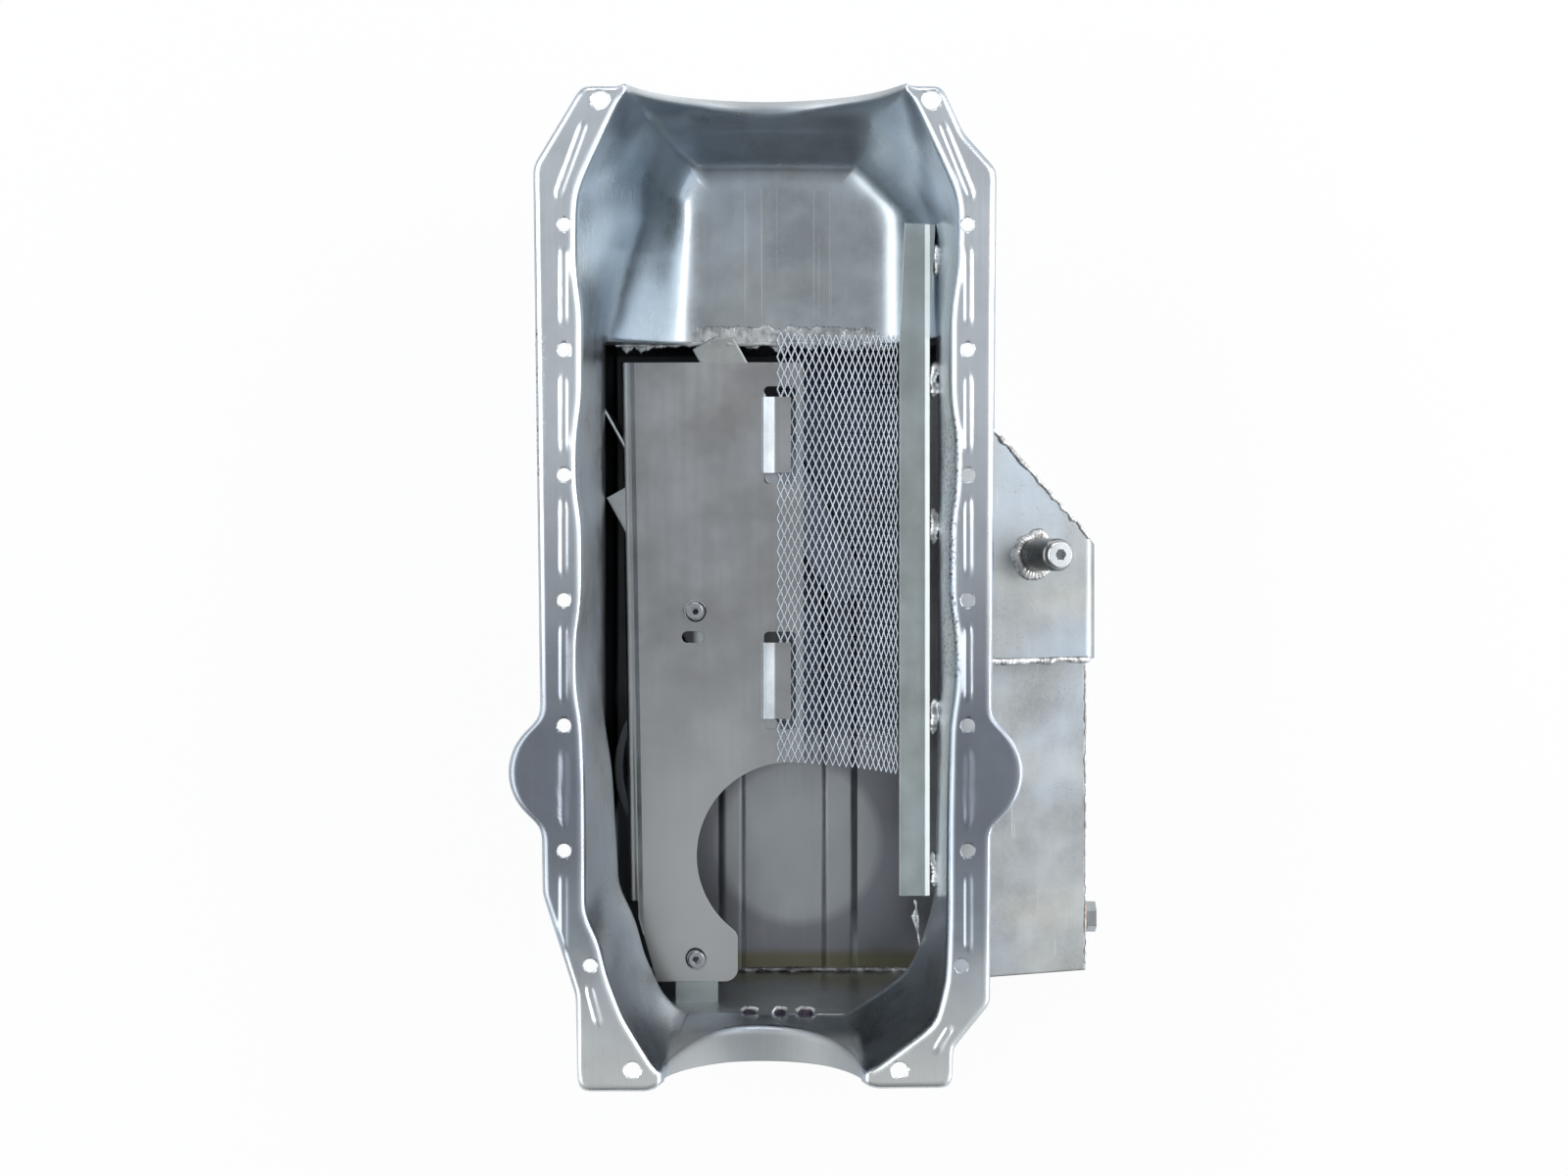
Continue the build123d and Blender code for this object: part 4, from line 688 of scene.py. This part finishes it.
def build_pan():
    """The sheet with its thickness and bolt holes, in place of the CAD pan."""
    points, faces = pan_sheet()
    pan = mesh_object("pan_sheet", points, faces, pan_zinc)
    shape = bmesh.new()
    shape.from_mesh(pan.data)
    bmesh.ops.remove_doubles(shape, verts=shape.verts, dist=0.02 * MM)
    bmesh.ops.recalc_face_normals(shape, faces=shape.faces)
    # The rail's faces have to look up
    on_rail = Vector((0.112, 0.0, 0.0))
    rail_face = min(shape.faces, key=lambda face: (face.calc_center_median() - on_rail).length)
    if rail_face.normal.z < 0:
        bmesh.ops.reverse_faces(shape, faces=shape.faces)
    shape.to_mesh(pan.data)
    shape.free()
    cutter = bolt_cutter()
    thick = pan.modifiers.new("thickness", "SOLIDIFY")
    thick.thickness = SHEET * MM
    thick.offset = -1.0
    drill = pan.modifiers.new("holes", "BOOLEAN")
    drill.object = cutter
    drill.operation = "DIFFERENCE"
    drill.solver = "EXACT"
    bpy.context.view_layer.update()
    solid = bpy.data.meshes.new_from_object(pan.evaluated_get(bpy.context.evaluated_depsgraph_get()))
    pan.modifiers.clear()
    # The lips are held to the CAD's ends
    places = np.empty(len(solid.vertices) * 3)
    solid.vertices.foreach_get("co", places)
    places[1::3] = np.clip(places[1::3], cad_box[0][1], cad_box[1][1])
    solid.vertices.foreach_set("co", places)
    pan.data = solid
    bpy.data.objects.remove(cutter)
    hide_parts("pan_body")


build_pan()


# Expanded metal screen

def screen_point(run, y):
    """Middle of the screen's sheet at a run from its left edge, and its slope: flat, then up on an arc."""
    flat = SCREEN_BEND_X - SCREEN_LEFT_X
    turn = np.maximum(run - flat, 0.0) / SCREEN_R
    x = SCREEN_LEFT_X + np.minimum(run, flat) + SCREEN_R * np.sin(turn)
    z = SCREEN_Z + SCREEN_R * (1.0 - np.cos(turn))
    return np.stack([x, np.broadcast_to(y, x.shape), z], -1), turn


def expanded_screen():
    """Zigzag strands side by side; each meets its left and right neighbours in turn, half a repeat apart.

    A strand is a tube of six-sided rings, flattened and tilted from side to side as the mesh is stretched."""
    repeat, pitch, width, thick = 9.8, 2.13, 1.26, 0.7
    end_slant = 4.7                         # how much further back the high edge reaches
    stations = np.arange(-135.0, 127.0, repeat / 4)
    phase = np.arange(len(stations)) % 4
    sideways = np.array([1.0, 0.0, -1.0, 0.0])[phase] * (pitch / 2 - 0.05)
    lean = np.array([0.0, 1.0, 0.0, -1.0])[phase]
    section = np.radians(np.arange(6) * 60 + 30)
    wide, high = np.cos(section) * width / 2, np.sin(section) * thick / 2
    points = []
    faces = []
    for number, run in enumerate(np.arange(pitch / 2, SCREEN_RUN, pitch)):
        sign = 1 if number % 2 else -1
        y = stations + rng.normal(0, 0.05, len(stations)) - end_slant * run / SCREEN_RUN
        middle = run + sign * sideways + rng.normal(0, 0.03, len(stations))
        tilt = (0.16 * sign * lean + 0.12)[:, None]
        across = middle[:, None] + wide * np.cos(tilt) - high * np.sin(tilt)
        above = wide * np.sin(tilt) + high * np.cos(tilt)
        spots, slope = screen_point(across, y[:, None])
        square = np.stack([-np.sin(slope), np.zeros_like(slope), np.cos(slope)], -1)
        points.append((spots + above[..., None] * square).reshape(-1, 3))
        faces.append(tube_quads(len(stations), 6, number * len(stations) * 6))
    screen = mesh_object("screen_mesh", np.concatenate(points), np.concatenate(faces),
                         mesh_steel)
    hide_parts("tray_screen")


expanded_screen()


def tab_bends():
    """The bright bend of each hook tab: a strip over the tab's left half with a rounded upper edge, in light
    steel that paints the bend's highlight.
    """
    left_x, top_z, bend_r = -3.45, -106.12, 1.6
    half_length = 22.95
    turn = np.radians(np.linspace(180, 90, 7))
    x = np.concatenate([[left_x], left_x + bend_r * (1 + np.cos(turn)), [0.5, 5.2]])
    z = np.concatenate([[-108.9], top_z + bend_r * (np.sin(turn) - 1), [top_z, top_z]])
    for number, middle in enumerate(TAB_YS):
        y = np.linspace(middle - half_length, middle + half_length, 12)
        faces = quads(numbered(len(y), len(x)))
        mesh_object("tab_bend_%d" % number, carried(x, y, z), faces, tab_lit_steel)


tab_bends()


def floor_ridges():
    """Soft pressed ridges over the sump floor's two beads: a flat crown with smooth steps at its sides."""
    front_y, rear_y = -4.0, -275.5
    for number, (middle, width) in enumerate(((-22.5, 9.5), (46.0, 14.5))):
        half = width / 2 + 4.5
        x = np.linspace(-half, half, 25)
        side = np.clip((half - np.abs(x)) / 4.3, 0, 1)
        crown = 1.75 * side * side * (3 - 2 * side)
        y = np.linspace(rear_y, front_y, 67)
        end = np.clip((front_y - y) / 5.0, 0, 1)
        fade = end * end * (3 - 2 * end)
        points = carried(middle + x, y, SUMP_FLOOR_Z - 0.05 + crown * fade[:, None])
        faces = quads(numbered(len(y), len(x)))
        mesh_object("floor_ridge_%d" % number, points, faces, sump_zinc)


floor_ridges()


# Weld seams

def bead(name, path, radius, pitch=1.9, rough=0.18, flat=0.75, up=(0, 0, 1), material=weld):
    """A weld bead: rings along a line of points, swollen once a pitch, with its scales leaning back.

    A ring's size is the radius times a saw tooth of the pitch, a slow random swell and a taper at the
    ends."""
    ring_step = 0.55
    sides = 12
    path = np.asarray(path, float)
    steps = np.linalg.norm(np.diff(path, axis=0), axis=1)
    total = steps.sum()
    count = max(int(total / ring_step), 4)
    where = np.linspace(0, total, count)
    knots = np.concatenate([[0], np.cumsum(steps)])
    centre = np.stack([np.interp(where, knots, path[:, k]) for k in range(3)], -1)
    forward = np.gradient(centre, axis=0)
    forward /= np.linalg.norm(forward, axis=1)[:, None]
    side = np.cross(forward, np.asarray(up, float))
    side /= np.maximum(np.linalg.norm(side, axis=1), 1e-6)[:, None]
    rise = np.cross(side, forward)
    swells = max(int(total / 4), 3)
    wander = np.interp(where, np.linspace(0, total, swells), rng.normal(0, 1, swells))
    swell = 1 + 0.13 * (1 - (where / pitch) % 1.0) + rough * wander
    ends = np.sqrt(np.clip(np.minimum(where, total - where) / radius, 0.02, 1.0))
    size = radius * swell * ends
    centre = centre + side * (0.25 * radius * wander)[:, None]
    ring = np.linspace(0, 2 * math.pi, sides, endpoint=False)
    cos, sin = np.cos(ring), np.sin(ring) * flat
    lumps = 1 + 0.06 * rng.normal(0, 1, (count, sides))
    points = (centre[:, None, :] + side[:, None, :] * (size[:, None] * cos * lumps)[..., None]
              + rise[:, None, :] * (size[:, None] * sin * lumps)[..., None]
              - forward[:, None, :] * (0.35 * radius * np.abs(sin))[None, :, None])
    return mesh_object(name, points.reshape(-1, 3), tube_quads(count, sides), material)


def circle_path(centre, radius, tilt):
    """Points round a circle whose axis leans towards +X by a tilt in degrees."""
    turn = np.radians(np.linspace(0.0, 360.0, 72))
    lean = math.radians(tilt)
    return np.stack([centre[0] + radius * np.cos(turn) * math.cos(lean),
                     centre[1] + radius * np.sin(turn),
                     centre[2] - radius * np.cos(turn) * math.sin(lean)], -1)


def on_cap(x, y, up):
    """A point over the cap's sloping top."""
    return (x, y, CAP_EDGE_Z + (CAP_EDGE_X - x) * math.tan(math.radians(CAP_SLOPE)) + up)


# Front floor to the sump's front wall: a broad hammered seam under a thin run
bead("weld_front_floor", [(-93, 121.5, FRONT_FLOOR_Z), (-60, 122.2, -112.1), (-20, 121.8, -112.1),
                          (40, 122.0, -112.1), (80, 121.5, FRONT_FLOOR_Z)],
     6.0, pitch=5.0, rough=0.10, flat=0.17, material=seam_weld)
bead("weld_front_floor_edge", [(-92, 117.6, -111.6), (-50, 117.9, -111.7), (-10, 117.7, -111.7),
                               (40, 117.8, -111.7), (80, 117.6, -111.6)],
     1.3, rough=0.3, material=seam_weld)
# Sump floor to the leaning rear wall
bead("weld_floor_rear", [(-92, -276.0, -197.8), (-20, -276.2, -197.8), (60, -275.8, -197.8),
                         (99, -276.0, -197.8)],
     1.7, rough=0.3)
# Burn-through spots on the pan's rear cut edge
for number, (x, length) in enumerate(((-10, 11), (8, 10), (23, 12))):
    half = length / 2
    bead("weld_rear_rim_%d" % number, [(x - half, -280.0, -77.9), (x + half, -280.3, -77.5)], 2.9,
         rough=0.25, flat=0.35)
    bead("weld_rear_spot_%d" % number, [(x - half + 1.5, -280.6, -77.0), (x + half - 1.5, -280.9, -76.6)],
         1.7, rough=0.35, flat=0.35, material=scorch_and_shade)
# Right cut edge behind the bar
bead("weld_right_edge", [(87.5, -214, -77.5), (89.0, -232, -77.5), (91.0, -253, -77.2)], 1.8, rough=0.45)
# Boss on the cap
bead("weld_boss", circle_path(on_cap(156.0, -9.7, 0.2), 11.4, CAP_SLOPE),
     3.1, pitch=2.0, rough=0.22, flat=0.5)
# Cap's rear edge, over the step
bead("weld_step", [on_cap(105, -71.0, -0.2), on_cap(150, -71.4, -0.2), on_cap(190, -71.0, -0.2)],
     1.7, pitch=2.2, rough=0.22, material=stitch_weld)
# Cap's diagonal edge, over the front wall
bead("weld_diagonal", [on_cap(104, 92.6, -0.3), on_cap(128, 66.0, -0.3), on_cap(150, 42.0, -0.3),
                       on_cap(172, 18.0, -0.3), on_cap(189.5, -0.6, -0.5)],
     1.45, pitch=2.4, rough=0.2, material=stitch_weld)
# Rear top's right edge
bead("weld_rear_top_edge", [(191.3, -76, -100.2), (191.3, -160, -100.2), (191.3, -256, -100.2)],
     0.8, rough=0.3)
# Drain bung
bung_turn = np.radians(np.linspace(0, 360, 72))
bung_y, bung_z = DRAIN_Y + 14.2 * np.cos(bung_turn), DRAIN_Z + 14.2 * np.sin(bung_turn)
bead("weld_drain", np.stack([np.full(len(bung_turn), 191.8), bung_y, bung_z], -1), 1.6, up=(1, 0, 0))
# Stitches between the bar and the pan's side
stitch_places = ((101.2, 165.0), (98.8, 94.0), (98.8, 7.5), (98.8, -105.0), (98.8, -195.0))
stitches = [bead("weld_stitch_%d" % k, [(x, y - 10.5, -74.4), (x + 0.4, y, -73.9), (x, y + 10.5, -74.4)],
                 3.1, pitch=2.6, rough=0.1, material=stitch_weld)
            for k, (x, y) in enumerate(stitch_places)]
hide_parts("bar_stitch_welds")


# Scratches, and painted shade in sockets and washer gaps

def scratch_lines(name, lines, lift):
    """Long single scratches: thin strips, level across, whose width follows a sine's root along them."""
    points = []
    faces = []
    share = np.linspace(0, 1, 9)[:, None]
    for number, (start, end, width) in enumerate(lines):
        start, end = np.array(start, float), np.array(end, float)
        way = (end - start) / np.linalg.norm(end - start)
        side = np.cross(way, (0, 0, 1))
        side /= np.linalg.norm(side)
        half = width / 2 * np.sqrt(np.maximum(np.sin(share * math.pi), 0.02))
        middle = start + (end - start) * share + np.array((0, 0, lift))
        points.append(np.stack([middle - side * half, middle + side * half], 1).reshape(-1, 3))
        faces.append(quads(numbered(len(share), 2, number * len(share) * 2)))
    mesh_object(name, np.concatenate(points), np.concatenate(faces), scratch_steel)


scratch_lines("floor_scratches", [
    ((x0, y0, FRONT_FLOOR_Z), (x1, y1, FRONT_FLOOR_Z), width) for x0, y0, x1, y1, width in (
        (-13.5, 221, -13.2, 128, 0.35), (-12.2, 205, -12.0, 150, 0.25), (-3.4, 222, -3.0, 126, 0.45),
        (28.6, 219, 28.3, 132, 0.35), (31.5, 190, 31.3, 128, 0.25), (38.4, 222, 38.0, 127, 0.30),
        (6.0, 222, 6.2, 160, 0.22))
], 0.10)
scratch_lines("cap_scratches", [
    (on_cap(x0, y0, 0), on_cap(x1, y1, 0), width) for x0, y0, x1, y1, width in (
        (150, -29, 172, -62, 0.35), (155, -29, 178, -66, 0.45), (160, -31, 183, -60, 0.35),
        (147, -31, 158, -45, 0.30), (172, -34, 186, -50, 0.25))
], 0.12)


def flat_ring(name, centre, inner, outer, sides, material):
    """A level ring between two circles, or nearly a disc where the inner radius is zero."""
    turn = np.linspace(0, 2 * math.pi, sides, endpoint=False)
    ring = np.stack([np.cos(turn), np.sin(turn), np.zeros(sides)], -1)
    points = np.concatenate([np.array(centre) + max(inner, 0.01) * ring, np.array(centre) + outer * ring])
    mesh_object(name, points, tube_quads(2, sides), material, smooth=False)


# Painted shade: black discs in the screw sockets and black rings in the gaps round the washers
for number, y in enumerate((-44.3, -253.9)):
    flat_ring("screw_socket_%d" % number, (-43.0, y, -104.12), 0.0, 1.9, 6, scorch_and_shade)
    flat_ring("washer_gap_%d" % number, (-43.0, y, -107.72), 5.2, 6.2, 40, scorch_and_shade)


# Stage, light and camera

def stage_floor():
    """White floor under the sump: nearly unlit white to the camera, plain white to everything else."""
    size = 6000
    low = cad_box[0][2] / MM - 0.5
    corners = [(-size, -size, low), (size, -size, low), (size, size, low), (-size, size, low)]
    mesh = bpy.data.meshes.new("floor")
    mesh.from_pydata((np.array(corners) * MM).tolist(), [], [(0, 1, 2, 3)])
    floor = bpy.data.objects.new("floor", mesh)
    bpy.context.scene.collection.objects.link(floor)
    mat = bpy.data.materials.new("floor_white")
    mat.use_nodes = True
    n = Nodes(mat.node_tree)
    path = n.add("ShaderNodeLightPath")
    matte = n.add("ShaderNodeBsdfDiffuse", Color=(0.86, 0.87, 0.88, 1.0))
    glow = n.add("ShaderNodeEmission", Color=(1.0, 1.0, 1.0, 1.0), Strength=1.0)
    seen = n.math("MULTIPLY", path.outputs["Is Camera Ray"], 0.93)
    n.add("ShaderNodeOutputMaterial", Surface=n.mix_shaders(seen, matte.outputs[0], glow.outputs[0]))
    mesh.materials.append(mat)


def studio_world():
    """Cloudy grey overhead, pale to the left and right, dark to the front and rear; white to the camera."""
    world = bpy.data.worlds.new("studio")
    bpy.context.scene.world = world
    world.use_nodes = True
    n = Nodes(world.node_tree)
    way = n.add("ShaderNodeTexCoord").outputs["Generated"]
    parts = n.add("ShaderNodeSeparateXYZ", Vector=way)
    right = n.ramp(parts.outputs["X"], 0.15, 0.95, 0.0, 0.80)
    left = n.ramp(parts.outputs["X"], -0.15, -0.95, 0.0, 0.42)
    level = n.math("ADD", n.ramp(parts.outputs["Z"], 0.30, 0.99, 0.12, 0.43), n.math("ADD", right, left))
    cloud = n.noise(way, 5.5, 2.0, 0.5)
    level = n.math("MULTIPLY", level, n.ramp(cloud, 0.32, 0.68, 0.66, 1.36))
    room = n.add("ShaderNodeBackground", Color=(0.93, 0.97, 1.0, 1.0), Strength=level)
    white = n.add("ShaderNodeBackground", Color=(1.0, 1.0, 1.0, 1.0), Strength=1.0)
    path = n.add("ShaderNodeLightPath")
    both = n.mix_shaders(path.outputs["Is Camera Ray"], room.outputs[0], white.outputs[0])
    n.add("ShaderNodeOutputWorld", Surface=both)


def softbox(name, place, target, width, height, power, colour=(1.0, 1.0, 1.0)):
    """A rectangular area light turned to a target, all in metres and watts."""
    data = bpy.data.lights.new(name, "AREA")
    data.shape = "RECTANGLE"
    data.size = width
    data.size_y = height
    data.energy = power
    data.color = colour
    lamp = bpy.data.objects.new(name, data)
    bpy.context.scene.collection.objects.link(lamp)
    aim = np.array(target, float) - np.array(place, float)
    lamp.location = place
    lamp.rotation_euler = (
        math.atan2(math.hypot(aim[0], aim[1]), -aim[2]), 0.0, math.atan2(aim[1], aim[0]) - math.pi / 2)


stage_floor()
studio_world()
softbox("bend_light", (0.74, 0.37, 0.70), (-0.07, 0.18, -0.11), 0.60, 0.32, 2.0)
softbox("left_box", (-1.35, 0.1, 0.95), (0, 0, -0.05), 2.2, 1.2, 18, (0.97, 0.99, 1.0))
softbox("right_box", (1.7, 0.0, 0.30), (0, 0, -0.05), 2.2, 0.5, 18, (1.0, 1.0, 0.99))
softbox("front_box", (0.0, 1.75, 0.65), (0, 0, -0.1), 1.3, 0.4, 6)

camera_data = bpy.data.cameras.new("camera")
camera_data.sensor_width = 36.0
camera_data.lens = 57.27
camera_data.shift_x = 0.003125
camera_data.shift_y = -0.025
camera = bpy.data.objects.new("camera", camera_data)
bpy.context.scene.collection.objects.link(camera)
camera.location = (0.0074, -0.0063, 1.400)
bpy.context.scene.camera = camera
bpy.context.scene.view_settings.view_transform = "Standard"

bpy.context.view_layer.update()
